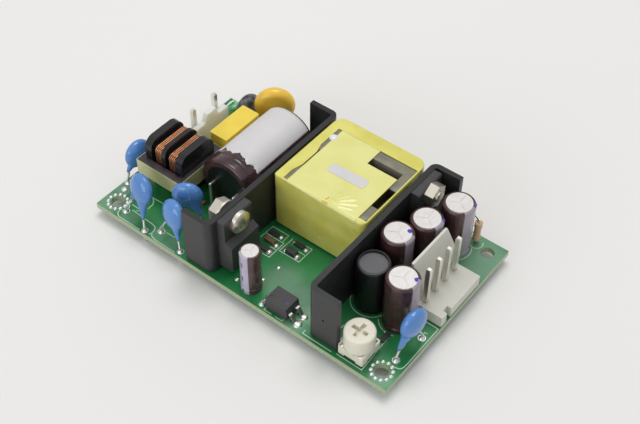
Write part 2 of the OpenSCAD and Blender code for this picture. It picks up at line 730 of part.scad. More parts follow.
label_gap = 0.02;
label_t = 0.08;
label_start = 4.3;                                // distance from the bung end
label_from = 38;                                  // angles round the can from +X
label_to = 195;
module bulk_capacitor_label() color("white") on_board()
  translate([bulk_x, bulk_y + bulk_l - 0.75, bulk_z]) rotate([90, 0, 0])
    rotate([0, 0, label_from]) rotate_extrude(angle = label_to - label_from, $fn = 96)
      translate([bulk_d / 2 + label_gap, 0]) square([label_t, bulk_l - label_start - 0.75]);

// ---- Heatsinks ----
// U channel from a folded sheet, open towards +X, from its own corner
module channel() {
  module filled(inset) {
    r = sink_bend_r - inset;
    translate([sink_bend_r, inset]) square([sink_side_w, sink_l - 2 * inset]);
    translate([inset, sink_bend_r]) square([sink_side_w, sink_l - 2 * sink_bend_r]);
    for (y = [sink_bend_r, sink_l - sink_bend_r]) translate([sink_bend_r, y]) circle(r);
  }
  intersection() {
    difference() {
      filled(0);
      filled(sink_t);
    }
    square([sink_side_w, sink_l]);
  }
}

module heatsink(screw_y, stud) difference() {
  union() {
    translate([0, 0, sink_z]) linear_extrude(sink_h - sink_z) channel();
    for (y = [tab_inset, sink_l - tab_inset])
      box(0, y - tab_w / 2, -board_t, sink_t, tab_w, board_t + sink_z);
  }
  translate([-eps, screw_y, screw_z]) rotate([0, 90, 0]) {
    cylinder(d = screw_d + 0.2, h = sink_t + 2 * eps);
    if (stud) cylinder(d = 1.5 * screw_d + 0.1, h = 0.7 + eps);
  }
}

module primary_heatsink() color("#1c1c1e") on_board()
  translate([sink1_x + sink_t, sink1_y, 0]) mirror([1, 0, 0])
    heatsink(device1_yc - sink1_y, false);
module secondary_heatsink() color("#1c1c1e") on_board() difference() {
  translate([sink2_x, sink2_y, 0]) heatsink(device2_yc - sink2_y, true);
  // Centre-punch mark
  translate([sink2_x + sink_side_w / 2 + 0.4, sink2_y - eps, sink_h / 2]) rotate([-90, 0, 0])
    cylinder(d = 0.6, h = 0.3);
}

// ---- Power packages on the heatsinks ----
module package(x, yc) translate([x, yc + package_w / 2, 0]) difference() {
  rotate([90, 0, 0]) linear_extrude(package_w) polygon([
    [0, package_z], [package_t - 0.5, package_z], [package_t, package_z + 0.7],
    [package_t, package_bevel_z], [package_tab_t, package_bevel_z + package_bevel_h],
    [package_tab_t, package_top - 0.3], [package_tab_t - 0.3, package_top], [0, package_top]]);
  translate([-eps, -package_w / 2, screw_z]) rotate([0, 90, 0])
    cylinder(d = screw_d + 0.2, h = package_tab_t + 2 * eps);
}
module primary_transistor() color("#26262a") on_board() package(sink1_x + sink_t, device1_yc);
module secondary_rectifier() color("#26262a") on_board() package(sink2_face, device2_yc);

module semiconductor_legs() color("silver") on_board() {
  for (p = device_legs)
    box(p[0] - leg_t / 2, p[1] - leg_w / 2, -board_t, leg_t, leg_w, board_t + package_z);
  // Each optocoupler leg leaves the body's side, bends down and narrows into its hole
  for (p = opto_legs_at) {
    s = p[0] < opto_at[0] ? -1 : 1;
    reach = opto_row / 2 - opto_l / 2;
    translate([opto_at[0] + s * opto_l / 2, p[1], 0]) mirror([s < 0 ? 1 : 0, 0, 0]) {
      box(0, -0.6, 2, reach + 0.12, 1.2, 0.25);
      box(reach - 0.12, -0.6, 0.7, 0.24, 1.2, 1.3);
      box(reach - 0.12, -0.25, -board_t, 0.24, 0.5, board_t + 0.7);
    }
  }
}

module cross_recess(r, depth) for (a = [0, 90]) rotate([0, 0, a])
  translate([-r, -0.3, -eps]) cube([2 * r, 0.6, depth + eps]);

module clamp_screws() color("lightgray") on_board() {
  front = sink1_x + sink_t + package_tab_t;
  shank = nut_t + washer_t + sink_t + package_tab_t + 0.4;
  // Pan head screw through the primary transistor
  translate([front, device1_yc, screw_z]) rotate([0, 90, 0]) {
    translate([0, 0, -shank]) cylinder(d = screw_d, h = shank);
    difference() {
      rotate_extrude() intersection() {
        square([screw_head_r, screw_head_h]);
        translate([0, screw_head_h - 1.7 * screw_head_r]) circle(1.7 * screw_head_r);
      }
      translate([0, 0, screw_head_h]) mirror([0, 0, 1]) cross_recess(0.55 * screw_head_r, 1);
    }
  }
  // Flush stud pressed into the secondary heatsink
  translate([sink2_x, device2_yc, screw_z]) rotate([0, 90, 0]) {
    cylinder(d = 1.5 * screw_d, h = 0.7);
    cylinder(d = screw_d, h = sink_t + package_tab_t + nut_t + 0.4);
  }
}

module nut() difference() {
  cylinder(r = nut_r, h = nut_t, $fn = 6);
  translate([0, 0, -eps]) cylinder(d = screw_d + 0.04, h = nut_t + 2 * eps);
}
module clamp_nuts() color("lightgray") on_board() {
  translate([sink1_x - washer_t - nut_t, device1_yc, screw_z]) rotate([0, 90, 0]) nut();
  translate([sink2_face + package_tab_t, device2_yc, screw_z]) rotate([0, 90, 0]) nut();
}
module clamp_washer() color("silver") on_board()
  translate([sink1_x - washer_t, device1_yc, screw_z]) rotate([0, 90, 0]) difference() {
    cylinder(d = 2.2 * screw_d, h = washer_t);
    translate([0, 0, -eps]) cylinder(d = screw_d + 0.2, h = washer_t + 2 * eps);
  }

// ---- Transformer ----
module ferrite_windows(grow) {
  wide = (ferrite_l - ferrite_mid) / 2 - ferrite_leg;
  for (x = [ferrite_leg, ferrite_l - ferrite_leg - wide])
    translate([ferrite_x + x + grow, ferrite_y + ferrite_wall + grow])
      square([wide - 2 * grow, ferrite_w - 2 * ferrite_wall - 2 * grow]);
}
// Room inside the tape band, less a gap all round
module band_inside(gap = 0) {
  inset = tape_t + gap;
  translate([trafo_x + inset, trafo_y + inset])
    round_rect(trafo_l - 2 * inset, trafo_w - 2 * inset, trafo_corner_r - inset);
}

// Ferrite frame whose outer legs are ground down between their ends
module transformer_core() color("#3a3a3c") on_board() difference() {
  translate([0, 0, ferrite_z]) linear_extrude(ferrite_top - ferrite_z) difference() {
    intersection() {
      translate([ferrite_x, ferrite_y]) square([ferrite_l, ferrite_w]);
      band_inside();
    }
    ferrite_windows(0);
  }
  for (x = [-eps, ferrite_l - ferrite_leg])
    box(ferrite_x + x, leg_notch_y, ferrite_top - leg_notch_depth, ferrite_leg + eps,
        leg_notch_w, leg_notch_depth + eps);
}

module transformer_winding() color("khaki") on_board()
  translate([0, 0, bobbin_base_h + 0.4])
    linear_extrude(ferrite_top - winding_below - bobbin_base_h - 0.4) ferrite_windows(fit);

// Base with two pin rails; the far rail rises behind the ferrite
module transformer_bobbin() color("#202022") on_board() {
  l = ferrite_l - 1;
  x = ferrite_x + 0.5;
  back_y = ferrite_y + ferrite_w + fit;
  back_w = trafo_y + trafo_w - back_y;
  difference() {
    intersection() {
      union() {
        box(x, ferrite_y + 0.4, 0.5, l, ferrite_w - 0.4, bobbin_base_h - 0.5);
        box(x, ferrite_y + 1, bobbin_base_h - eps, l, ferrite_w - 2, ferrite_z - bobbin_base_h
            - fit + eps);
        box(x, back_y - 1, 0.5, l, back_w + 1, bobbin_base_h - 0.5);
        box(x, back_y, bobbin_base_h - eps, l, back_w, ferrite_top - bobbin_base_h + eps);
        for (p = trafo_pins_at) at(p) cylinder(d = 1.6, h = 0.6, $fn = 24);
      }
      linear_extrude(ferrite_top) band_inside(0.05);
    }
    translate([0, 0, bobbin_base_h + 0.3]) linear_extrude(trafo_h) ferrite_windows(0);
    for (p = trafo_pins_at) at(p, -eps) cylinder(d = trafo_pin_d, h = 3, $fn = 24);
  }
}
module transformer_pins() color("silver") on_board() for (p = trafo_pins_at)
  at(p, -board_t) cylinder(d = trafo_pin_d, h = board_t + 2.8, $fn = 24);

left_lip = 2.8;
back_lip = 4.3;
module transformer_tape() color("khaki") on_board() {
  translate([0, 0, 0.7]) linear_extrude(trafo_h - 0.7) difference() {
    translate([trafo_x, trafo_y]) round_rect(trafo_l, trafo_w, trafo_corner_r);
    band_inside();
  }
  // Turned-in edge on the left and at the back
  translate([trafo_x, trafo_y, ferrite_top]) linear_extrude(trafo_h - ferrite_top)
    difference() {
      round_rect(trafo_l, trafo_w, trafo_corner_r);
      difference() {
        translate([left_lip, tape_t - trafo_w])
          square([trafo_l - left_lip - tape_t, 2 * trafo_w - tape_t - back_lip]);
        translate([left_lip - 1, leg_notch_y - trafo_y]) round_rect(1.9, leg_notch_w, 0.6);
      }
    }
}

label_l = 10.4;
label_w = 2.3;
glue_r = 0.85;
// Light sheet that lies on the ferrite, level with the band's turned-in edges
module transformer_top_sheet() color("lemonchiffon") on_board()
  translate([ferrite_x, ferrite_y, ferrite_top]) linear_extrude(trafo_h - ferrite_top) {
    far = trafo_w - back_lip - tape_t - 0.05;
    step = far - 5.4;
    right = ferrite_l - ferrite_leg;
    polygon([[1.3, 0.02], [right + 0.1, 0.02], [right, step], [12.6, step - 0.1],
             [12.5, far], [2.1, far]]);
  }

module transformer_label() color("white") on_board()
  translate([trafo_x + 0.54 * trafo_l, trafo_y + 0.39 * trafo_w, trafo_h])
    rotate([0, 0, 8]) translate([-label_l / 2, -label_w / 2, 0]) linear_extrude(0.06)
      round_rect(label_l, label_w, 0.5);

module transformer_glue() color("snow") on_board()
  translate([trafo_x + left_lip + glue_r + 0.04, trafo_y + 0.71 * trafo_w, ferrite_top])
    solder_dome(glue_r, 0.7);

// ---- Radial capacitors ----
module can_section(d, h) {
  lip = d * 0.09;
  difference() {
    union() {
      square([d / 2, h - lip]);
      square([d / 2 - lip, h]);
      translate([d / 2 - lip, h - lip]) circle(lip);
    }
    translate([-eps, h - 0.2]) square([d / 2 - lip - 0.05 + eps, 1]);
    translate([d / 2 + d * 0.06, 1.7]) circle(d * 0.1);
  }
}
module radial_capacitor(p, d, h) at(p) rotate_extrude() can_section(d, h);

module start_capacitor() color("rosybrown") on_board()
  radial_capacitor(start_cap_at, start_cap_d, start_cap_h);
module output_capacitor_1() color("rosybrown") on_board()
  radial_capacitor(capacitor_places[0], cap_d, cap_h);
module output_capacitor_2() color("rosybrown") on_board()
  radial_capacitor(capacitor_places[1], cap_d, cap_h);
module output_capacitor_3() color("rosybrown") on_board()
  radial_capacitor(capacitor_places[2], cap_d, cap_h);
module output_capacitor_4() color("rosybrown") on_board()
  radial_capacitor(capacitor_places[3], cap_d, cap_h);

// Bare top of a can, with its three-armed safety score
module can_top(p, d, h) at(p, h - 0.2) {
  r = d / 2 - d * 0.09 - 0.07;
  difference() {
    cylinder(r = r, h = 0.17);
    for (a = [90, 210, 330]) rotate([0, 0, a])
      translate([0, -0.1, 0.09]) cube([r * 0.8, 0.2, 1]);
  }
}
module capacitor_tops() color("gainsboro") on_board() {
  for (c = capacitor_places) can_top(c, cap_d, cap_h);
  can_top(start_cap_at, start_cap_d, start_cap_h);
}

// ---- Filter inductor: drum core in a shrunk sleeve ----
sleeve_t = 0.35;
module inductor_core() color("#4a4a4c") on_board() at([inductor_x, inductor_y])
  cylinder(d = inductor_d - 2 * sleeve_t - 0.04, h = inductor_h - 0.6);
module inductor_sleeve() color("black") on_board() at([inductor_x, inductor_y])
  rotate_extrude() difference() {
    union() {
      square([inductor_d / 2, inductor_h - 0.5]);
      square([inductor_d / 2 - 0.5, inductor_h]);
      translate([inductor_d / 2 - 0.5, inductor_h - 0.5]) circle(0.5);
    }
    translate([-eps, -eps]) square([inductor_d / 2 - sleeve_t + eps, inductor_h - 0.6 + eps]);
    translate([-eps, 0]) square([inductor_d / 2 - 0.7, inductor_h + 1]);
  }

// ---- Optocoupler ----
module optocoupler() color("#1a1a1c") on_board() difference() {
  translate([opto_at[0], opto_at[1] + opto_w / 2, 0]) rotate([90, 0, 0])
    linear_extrude(opto_w) polygon([
      [-opto_l / 2 + 0.2, opto_z], [opto_l / 2 - 0.2, opto_z], [opto_l / 2, 2],
      [opto_l / 2, 2.25], [opto_l / 2 - 0.25, opto_top], [-opto_l / 2 + 0.25, opto_top],
      [-opto_l / 2, 2.25], [-opto_l / 2, 2]]);
  translate([opto_at[0] - opto_l / 2 + 1.2, opto_at[1] - opto_w / 2 + 1.1, opto_top - 0.1])
    cylinder(d = 1, h = 1);
}

// ---- Trimmer ----
spindle_d = 2;
// Open shell on four feet, with a hub for the spindle and a grooved ledge
module trimmer_base() color("ivory") on_board() at(trimmer_at) {
  w = trimmer_w;
  foot = 1.9;
  tall = trimmer_base_top - trimmer_base_z;
  difference() {
    union() {
      difference() {
        translate([-w / 2, -w / 2, trimmer_base_z]) linear_extrude(tall) round_rect(w, w, 0.5);
        box(-w / 2 + trimmer_wall, -w / 2 + trimmer_ledge, trimmer_floor,
            w - 2 * trimmer_wall, w - trimmer_ledge - trimmer_wall, tall);
      }
      translate([0, 0, trimmer_floor - 0.2])
        cylinder(d = spindle_d + 1.6, h = trimmer_base_top - trimmer_floor + 0.2);
    }
    translate([0, 0, trimmer_base_z + 0.6])
      cylinder(d = spindle_d + 0.1, h = trimmer_base_top);
    for (p = trimmer_pins_at)
      box(p[0] - trimmer_at[0] - 0.37, p[1] - trimmer_at[1] - 0.27, trimmer_base_z - eps,
          0.74, 0.54, 1);
    for (a = [0, 90]) rotate([0, 0, a])
      box(-w / 2 - eps, -w / 2 + foot, trimmer_base_z - eps, w + 2 * eps, w - 2 * foot, 0.5);
    for (i = [-2:2])
      box(0.55 * i - 0.15, -w / 2 - eps, trimmer_base_top - 0.3, 0.3, trimmer_ledge, 1);
  }
}
module trimmer_rotor() color("floralwhite") on_board() at(trimmer_at) difference() {
  union() {
    translate([0, 0, trimmer_base_z + 0.7])
      cylinder(d = spindle_d, h = trimmer_base_top - trimmer_base_z);
    translate([0, 0, trimmer_base_top + fit]) rotate_extrude() {
      h = rotor_top - trimmer_base_top - fit;
      square([rotor_d / 2, h - 0.5]);
      square([rotor_d / 2 - 0.5, h]);
      translate([rotor_d / 2 - 0.5, h - 0.5]) circle(0.5);
    }
  }
  for (a = [0, 90]) rotate([0, 0, a])
    translate([-rotor_d / 2 + 1.6, -0.5, rotor_top - 1.2]) cube([rotor_d - 3.2, 1, 2]);
}
// Flat pins, and the tinned ends of the track on the ledge
module trimmer_terminals() color("silver") on_board() {
  for (p = trimmer_pins_at)
    box(p[0] - 0.35, p[1] - 0.25, -board_t, 0.7, 0.5, board_t + trimmer_base_z + 0.9);
  for (s = [-1, 1])
    translate([trimmer_at[0] + s * (trimmer_w / 2 - 0.9),
               trimmer_at[1] - trimmer_w / 2 + trimmer_ledge / 2, trimmer_base_top])
      solder_dome(0.5, 0.09);
}

// ---- Standing resistor ----
module bleed_resistor() color("tan") on_board() at(resistor_at, resistor_z) rotate_extrude() {
  square([resistor_d / 2 - 0.15, resistor_h]);
  for (z = [0, resistor_h - 1.6]) translate([0, z]) intersection() {
    square([resistor_d / 2, 1.6]);
    union() {
      translate([resistor_d / 2 - 0.5, 0.8]) circle(0.8);
      square([resistor_d / 2 - 0.5, 1.6]);
    }
  }
}

// ---- Surface-mounted parts ----
module chip(p, l, w, h, turn = 0) at(p) rotate([0, 0, turn])
  translate([-l / 2, -w / 2, 0]) cube([l, w, h]);
chip_l = 2.8;
chip_w = 1.3;
chip_h = 0.9;
resistor_chip_h = 0.5;
diode_w = 1.6;
diode_h = 1.1;
module chip_capacitors() color("tan") on_board() {
  chip([trafo_x + 3.3, trafo_y - 5.6], chip_l, chip_w, chip_h);
  chip([choke_x + choke_l + 1.8, choke_y + 5], 2, chip_w, chip_h);
}
module chip_resistors() color("#222222") on_board() {
  for (p = [[2.5, 3.2], [9.8, 2.3], [3.6, 8.2]])
    chip([trafo_x + p[0], trafo_y - p[1]], chip_l, chip_w, resistor_chip_h);
  chip([trimmer_at[0] + 2.5, trimmer_at[1] + 6.4], chip_w, chip_l, resistor_chip_h);
}
module chip_diodes() color("#222222") on_board()
  chip([trafo_x + 9.8, trafo_y - 5.3], chip_l, diode_w, diode_h);
module underside_chips() color("#222222") on_board() mirror([0, 0, 1])
  translate([0, 0, board_t]) {
    chip([trafo_x + 8, front_strip / 2], 4.9, 3.9, 1.5);
    chip([choke_xc + 10, choke_yc + 9], 6, 5, 1.4);
    for (i = [0:3]) chip([trafo_x + 14 + 2.4 * i, front_strip / 2 + 2], 1.2, 2, 0.6);
  }

circuit_board();
tinned_pads();
solder_joints();
component_leads();
ac_inlet_header();
ac_inlet_pins();
output_header();
output_pins();
line_fuse();
inrush_thermistor();
surge_varistor();
film_capacitor();
choke_core();
choke_bobbin();
choke_windings();
choke_tape();
choke_pins();
disc_capacitor_1();
disc_capacitor_2();
disc_capacitor_3();
disc_capacitor_4();
disc_capacitor_5();
bulk_capacitor();
bulk_capacitor_label();
bulk_capacitor_bung();
bulk_capacitor_leads();
primary_heatsink();
primary_transistor();
secondary_heatsink();
secondary_rectifier();
semiconductor_legs();
clamp_screws();
clamp_nuts();
clamp_washer();
transformer_core();
transformer_bobbin();
transformer_winding();
transformer_tape();
transformer_top_sheet();
transformer_label();
transformer_glue();
transformer_pins();
start_capacitor();
output_capacitor_1();
output_capacitor_2();
output_capacitor_3();
output_capacitor_4();
capacitor_tops();
inductor_core();
inductor_sleeve();
optocoupler();
trimmer_base();
trimmer_rotor();
trimmer_terminals();
bleed_resistor();
chip_capacitors();
chip_resistors();
chip_diodes();
underside_chips();
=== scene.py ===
"""Looks of an open frame power supply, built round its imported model.

Everything is in metres, in the model's own frame. spot() turns a place in millimetres,
counted from the board's near left corner on its top face, into that frame.
"""
import json
import math

import bmesh
import bpy
from mathutils import Matrix, Vector, noise


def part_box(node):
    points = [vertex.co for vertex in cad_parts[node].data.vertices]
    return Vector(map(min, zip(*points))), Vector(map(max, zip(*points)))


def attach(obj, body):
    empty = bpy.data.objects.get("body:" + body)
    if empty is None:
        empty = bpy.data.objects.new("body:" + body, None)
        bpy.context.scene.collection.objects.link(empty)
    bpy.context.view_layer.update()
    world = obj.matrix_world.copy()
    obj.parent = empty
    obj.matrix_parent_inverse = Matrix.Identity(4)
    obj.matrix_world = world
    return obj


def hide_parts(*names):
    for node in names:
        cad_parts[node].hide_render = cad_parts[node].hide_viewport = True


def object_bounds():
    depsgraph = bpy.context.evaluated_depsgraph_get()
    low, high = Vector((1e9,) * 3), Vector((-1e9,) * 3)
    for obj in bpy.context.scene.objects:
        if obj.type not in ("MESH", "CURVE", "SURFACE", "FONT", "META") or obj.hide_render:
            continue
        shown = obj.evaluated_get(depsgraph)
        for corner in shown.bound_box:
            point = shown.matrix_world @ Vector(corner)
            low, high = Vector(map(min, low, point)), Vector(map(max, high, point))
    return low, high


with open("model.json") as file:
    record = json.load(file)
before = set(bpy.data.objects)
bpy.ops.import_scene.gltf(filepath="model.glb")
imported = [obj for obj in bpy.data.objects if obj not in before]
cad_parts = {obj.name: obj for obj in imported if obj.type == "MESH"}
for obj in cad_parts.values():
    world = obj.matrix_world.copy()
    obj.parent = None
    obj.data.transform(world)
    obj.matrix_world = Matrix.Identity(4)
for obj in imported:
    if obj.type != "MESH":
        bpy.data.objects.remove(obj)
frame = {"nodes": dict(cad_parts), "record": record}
CAD_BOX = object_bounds()
MM = 0.001
BODY = "supply"
BOARD_LOW, BOARD_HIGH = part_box("circuit_board")


def spot(x, y, z=0.0):
    """A place in the frame from millimetres on the board's top face."""
    return Vector((BOARD_LOW.x + x * MM, BOARD_LOW.y + y * MM, BOARD_HIGH.z + z * MM))


def on_board(point):
    """Millimetres on the board's top face from a place in the frame."""
    return Vector(((point.x - BOARD_LOW.x) / MM, (point.y - BOARD_LOW.y) / MM,
                   (point.z - BOARD_HIGH.z) / MM))


def box_mm(node):
    """A node's lowest and highest corners, in millimetres on the board."""
    low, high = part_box(node)
    return on_board(low), on_board(high)


def middle(node):
    low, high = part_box(node)
    return (low + high) / 2


# ---------------------------------------------------------------- camera, light, floor
LENS = 60.68                        # on a sensor 36 mm wide
EYE = (155.69, -112.05, 197.11)     # where the camera stands and what it looks at,
TARGET = (45.41, 32.46, 0.0)        # in millimetres on the board
ROLL = 0.955                        # degrees
HORIZON = (0.60, 0.60, 0.61, 1)
ZENITH = (0.90, 0.90, 0.91, 1)
SKY_STRENGTH = 0.78
FLOOR_HALF = 3.0
PAPER = (0.80, 0.79, 0.77)
CEILING = 1.0                       # metres; higher than anything on the board


def make_camera():
    data = bpy.data.cameras.new("camera")
    data.sensor_width = 36.0
    data.lens = LENS
    data.clip_start = 0.01
    camera = bpy.data.objects.new("camera", data)
    bpy.context.scene.collection.objects.link(camera)
    eye, target = spot(*EYE), spot(*TARGET)
    forward = (target - eye).normalized()
    right = forward.cross(Vector((0, 0, 1))).normalized()
    up = right.cross(forward)
    turn = Matrix((right, up, -forward)).transposed().to_4x4()
    camera.matrix_world = Matrix.Translation(eye) @ turn @ Matrix.Rotation(
        math.radians(ROLL), 4, "Z")
    bpy.context.scene.camera = camera


def make_world():
    """A plain sky, lighter overhead than at the horizon."""
    world = bpy.data.worlds.new("studio")
    bpy.context.scene.world = world
    world.use_nodes = True
    nodes, links = world.node_tree.nodes, world.node_tree.links
    background = nodes["Background"]
    coords = nodes.new("ShaderNodeTexCoord")
    split = nodes.new("ShaderNodeSeparateXYZ")
    rescale = nodes.new("ShaderNodeMapRange")
    rescale.inputs["From Min"].default_value = -1.0
    ramp = nodes.new("ShaderNodeValToRGB")
    low, high = ramp.color_ramp.elements
    low.position, low.color = 0.45, HORIZON
    high.position, high.color = 1.0, ZENITH
    links.new(coords.outputs["Generated"], split.inputs[0])
    links.new(split.outputs["Z"], rescale.inputs["Value"])
    links.new(rescale.outputs["Result"], ramp.inputs["Fac"])
    links.new(ramp.outputs["Color"], background.inputs["Color"])
    background.inputs["Strength"].default_value = SKY_STRENGTH


def area_light(name, place, target, size, power):
    data = bpy.data.lights.new(name, "AREA")
    data.shape = "RECTANGLE"
    data.size, data.size_y = size
    data.energy = power
    lamp = bpy.data.objects.new(name, data)
    bpy.context.scene.collection.objects.link(lamp)
    direction = (Vector(target) - Vector(place)).normalized()
    lamp.matrix_world = Matrix.Translation(place) @ direction.to_track_quat(
        "-Z", "Y").to_matrix().to_4x4()


def make_lights():
    area_light("softbox_above", (-0.06, 0.14, 0.62), (0, 0, 0), (0.30, 0.30), 1.5)
    area_light("fill_front", (-0.10, -0.75, 0.32), (0, 0, 0.01), (0.6, 0.4), 1.6)


def make_floor():
    """White paper under the part."""
    low = CAD_BOX[0][2]
    bm = bmesh.new()
    corners = [(-1, -1), (1, -1), (1, 1), (-1, 1)]
    bm.faces.new([bm.verts.new((x * FLOOR_HALF, y * FLOOR_HALF, low)) for x, y in corners])
    mesh = bpy.data.meshes.new("floor")
    bm.to_mesh(mesh)
    bm.free()
    floor = bpy.data.objects.new("floor", mesh)
    bpy.context.scene.collection.objects.link(floor)
    mesh.materials.append(new_material("floor_paper", PAPER, 0.9)[0])


# ---------------------------------------------------------------- materials
def tone(r, g, b):
    """Linear colour from a 0 to 255 display colour."""
    def line(v):
        v /= 255.0
        return v / 12.92 if v <= 0.04045 else ((v + 0.055) / 1.055) ** 2.4
    return line(r), line(g), line(b)


def new_material(name, colour, rough, **sockets):
    material = bpy.data.materials.new(name)
    material.use_nodes = True
    nodes, links = material.node_tree.nodes, material.node_tree.links
    shader = nodes["Principled BSDF"]
    shader.inputs["Base Color"].default_value = (*colour, 1)
    shader.inputs["Roughness"].default_value = rough
    for socket, value in sockets.items():
        shader.inputs[socket.replace("_", " ")].default_value = value
    return material, nodes, links, shader


def object_noise(nodes, links, scale, detail=3.0, stretch=(1, 1, 1)):
    """Noise over the object's own metres. Scale is in waves per metre."""
    coords = nodes.new("ShaderNodeTexCoord")
    mapping = nodes.new("ShaderNodeMapping")
    mapping.inputs["Scale"].default_value = stretch
    texture = nodes.new("ShaderNodeTexNoise")
    texture.inputs["Scale"].default_value = scale
    texture.inputs["Detail"].default_value = detail
    links.new(coords.outputs["Object"], mapping.inputs["Vector"])
    links.new(mapping.outputs["Vector"], texture.inputs["Vector"])
    return texture.outputs["Fac"]


def ramp_between(nodes, links, value, colour_a, colour_b, low=0.35, high=0.65):
    ramp = nodes.new("ShaderNodeValToRGB")
    ramp.color_ramp.elements[0].position = low
    ramp.color_ramp.elements[0].color = (*colour_a, 1)
    ramp.color_ramp.elements[1].position = high
    ramp.color_ramp.elements[1].color = (*colour_b, 1)
    links.new(value, ramp.inputs["Fac"])
    return ramp.outputs["Color"]


def math_node(nodes, links, operation, a, b=None, clamp=False):
    node = nodes.new("ShaderNodeMath")
    node.operation = operation
    node.use_clamp = clamp
    for socket, value in zip(node.inputs, (a, b)):
        if value is None:
            continue
        if isinstance(value, (int, float)):
            socket.default_value = value
        else:
            links.new(value, socket)
    return node.outputs[0]


def place_nodes(nodes, links):
    """X, Y and Z of the shaded point in the object's own metres."""
    coords = nodes.new("ShaderNodeTexCoord")
    split = nodes.new("ShaderNodeSeparateXYZ")
    links.new(coords.outputs["Object"], split.inputs[0])
    return split.outputs[0], split.outputs[1], split.outputs[2]


def mix_colour(nodes, links, factor, a, b):
    mix = nodes.new("ShaderNodeMix")
    mix.data_type = "RGBA"
    for socket, value in (("Factor", factor), ("A", a), ("B", b)):
        if isinstance(value, tuple):
            mix.inputs[socket].default_value = (*value, 1)
        elif isinstance(value, (int, float)):
            mix.inputs[socket].default_value = value
        else:
            links.new(value, mix.inputs[socket])
    return mix.outputs["Result"]


def band(nodes, links, value, low, high, soft):
    """1 between low and high, 0 outside, over soft edges."""
    def rise(a, b):
        ramp = nodes.new("ShaderNodeMapRange")
        ramp.interpolation_type = "SMOOTHSTEP"
        ramp.inputs["From Min"].default_value = a
        ramp.inputs["From Max"].default_value = b
        links.new(value, ramp.inputs["Value"])
        return ramp.outputs["Result"]
    up = rise(low - soft, low + soft)
    down = rise(high - soft, high + soft)
    return math_node(nodes, links, "SUBTRACT", up, down, True)


def upward(nodes, links):
    """Z of the shaded face's normal: 1 facing up, -1 facing down."""
    geometry = nodes.new("ShaderNodeNewGeometry")
    split = nodes.new("ShaderNodeSeparateXYZ")
    links.new(geometry.outputs["Normal"], split.inputs[0])
    return split.outputs["Z"]


def add_bump(nodes, links, shader, value, strength, distance):
    bump = nodes.new("ShaderNodeBump")
    bump.inputs["Strength"].default_value = strength
    bump.inputs["Distance"].default_value = distance
    links.new(value, bump.inputs["Height"])
    links.new(bump.outputs["Normal"], shader.inputs["Normal"])


def add_roughness(nodes, links, shader, value, low, high):
    spread = nodes.new("ShaderNodeMapRange")
    spread.inputs["To Min"].default_value = low
    spread.inputs["To Max"].default_value = high
    links.new(value, spread.inputs["Value"])
    links.new(spread.outputs["Result"], shader.inputs["Roughness"])


def mottled(name, colour, rough, vary, scale, bump, **sockets):
    """A finish with a slow change of shade, a rough patch or two and a fine bump."""
    material, nodes, links, shader = new_material(name, colour, rough, **sockets)
    slow = object_noise(nodes, links, scale * 0.25, 2.0)
    fine = object_noise(nodes, links, scale, 5.0)
    darker = tuple(c * (1 - vary) for c in colour)
    lighter = tuple(min(1.0, c * (1 + vary)) for c in colour)
    links.new(ramp_between(nodes, links, slow, darker, lighter), shader.inputs["Base Color"])
    add_roughness(nodes, links, shader, slow, rough * 0.8, min(1.0, rough * 1.25))
    add_bump(nodes, links, shader, fine, bump, 0.00003)
    return material


def offsets(nodes, links, x, y, centre):
    """How far the shaded point lies from a place, along X and along Y."""
    return (math_node(nodes, links, "SUBTRACT", x, centre.x),
            math_node(nodes, links, "SUBTRACT", y, centre.y))


def squares(nodes, links, a, b):
    """The sum of the squares of two values."""
    return math_node(nodes, links, "ADD", math_node(nodes, links, "MULTIPLY", a, a),
                     math_node(nodes, links, "MULTIPLY", b, b))


def painted_reflection_patches(nodes, links, x, y, patches):
    """The strongest of some soft round patches: painted reflection, milky lighter spots on the
    mask.
    """
    strongest = None
    for px, py, reach, strength in patches:
        dx, dy = offsets(nodes, links, x, y, spot(px, py))
        away = math_node(nodes, links, "SQRT", squares(nodes, links, dx, dy))
        fade = nodes.new("ShaderNodeMapRange")
        fade.interpolation_type = "SMOOTHSTEP"
        fade.inputs["From Min"].default_value = reach * 1.25 * MM
        fade.inputs["From Max"].default_value = reach * 0.45 * MM
        fade.inputs["To Max"].default_value = strength
        links.new(away, fade.inputs["Value"])
        patch = fade.outputs["Result"]
        strongest = math_node(nodes, links, "MAXIMUM", strongest, patch) if strongest else patch
    return strongest


# Painted reflection, milky lighter patches on the mask: place, reach and strength
PAINTED_REFLECTIONS = [
    (52.5, 9.5, 5.5, 0.5), (57.5, 7.5, 5.0, 0.55), (62.5, 5.5, 3.5, 0.65),
    (62.0, 1.2, 3.5, 0.5), (2.5, 2.0, 4.5, 0.55), (1.5, 8.0, 3.0, 0.6),
    (19.5, 1.6, 2.6, 0.4), (24.0, 1.5, 2.6, 0.45), (10.0, 1.2, 3.0, 0.35),
    (86.5, 1.6, 3.2, 0.5), (86.0, 44.5, 8.0, 0.6), (83.5, 49.0, 5.0, 0.5),
]


def board_material():
    """Green solder mask on the faces with milky patches of painted reflection, pale laminate on
    the cut edges.
    """
    material, nodes, links, shader = new_material("solder_mask", tone(32, 116, 66), 0.3)
    slow = object_noise(nodes, links, 120.0, 3.0)
    weave = object_noise(nodes, links, 2600.0, 2.0)
    green = ramp_between(nodes, links, slow, tone(24, 106, 58), tone(40, 134, 74))
    x, y, _ = place_nodes(nodes, links)
    # painted reflection: the green turns milky in soft patches where the mask reflects light
    painted_reflection = painted_reflection_patches(nodes, links, x, y, PAINTED_REFLECTIONS)
    green = mix_colour(nodes, links, painted_reflection, green, tone(128, 166, 140))
    flat = math_node(nodes, links, "GREATER_THAN",
                     math_node(nodes, links, "ABSOLUTE", upward(nodes, links)), 0.5)
    fibre = ramp_between(nodes, links, weave, (0.42, 0.46, 0.28), (0.30, 0.40, 0.22))
    links.new(mix_colour(nodes, links, flat, fibre, green), shader.inputs["Base Color"])
    add_bump(nodes, links, shader, weave, 0.08, 0.00002)
    return material


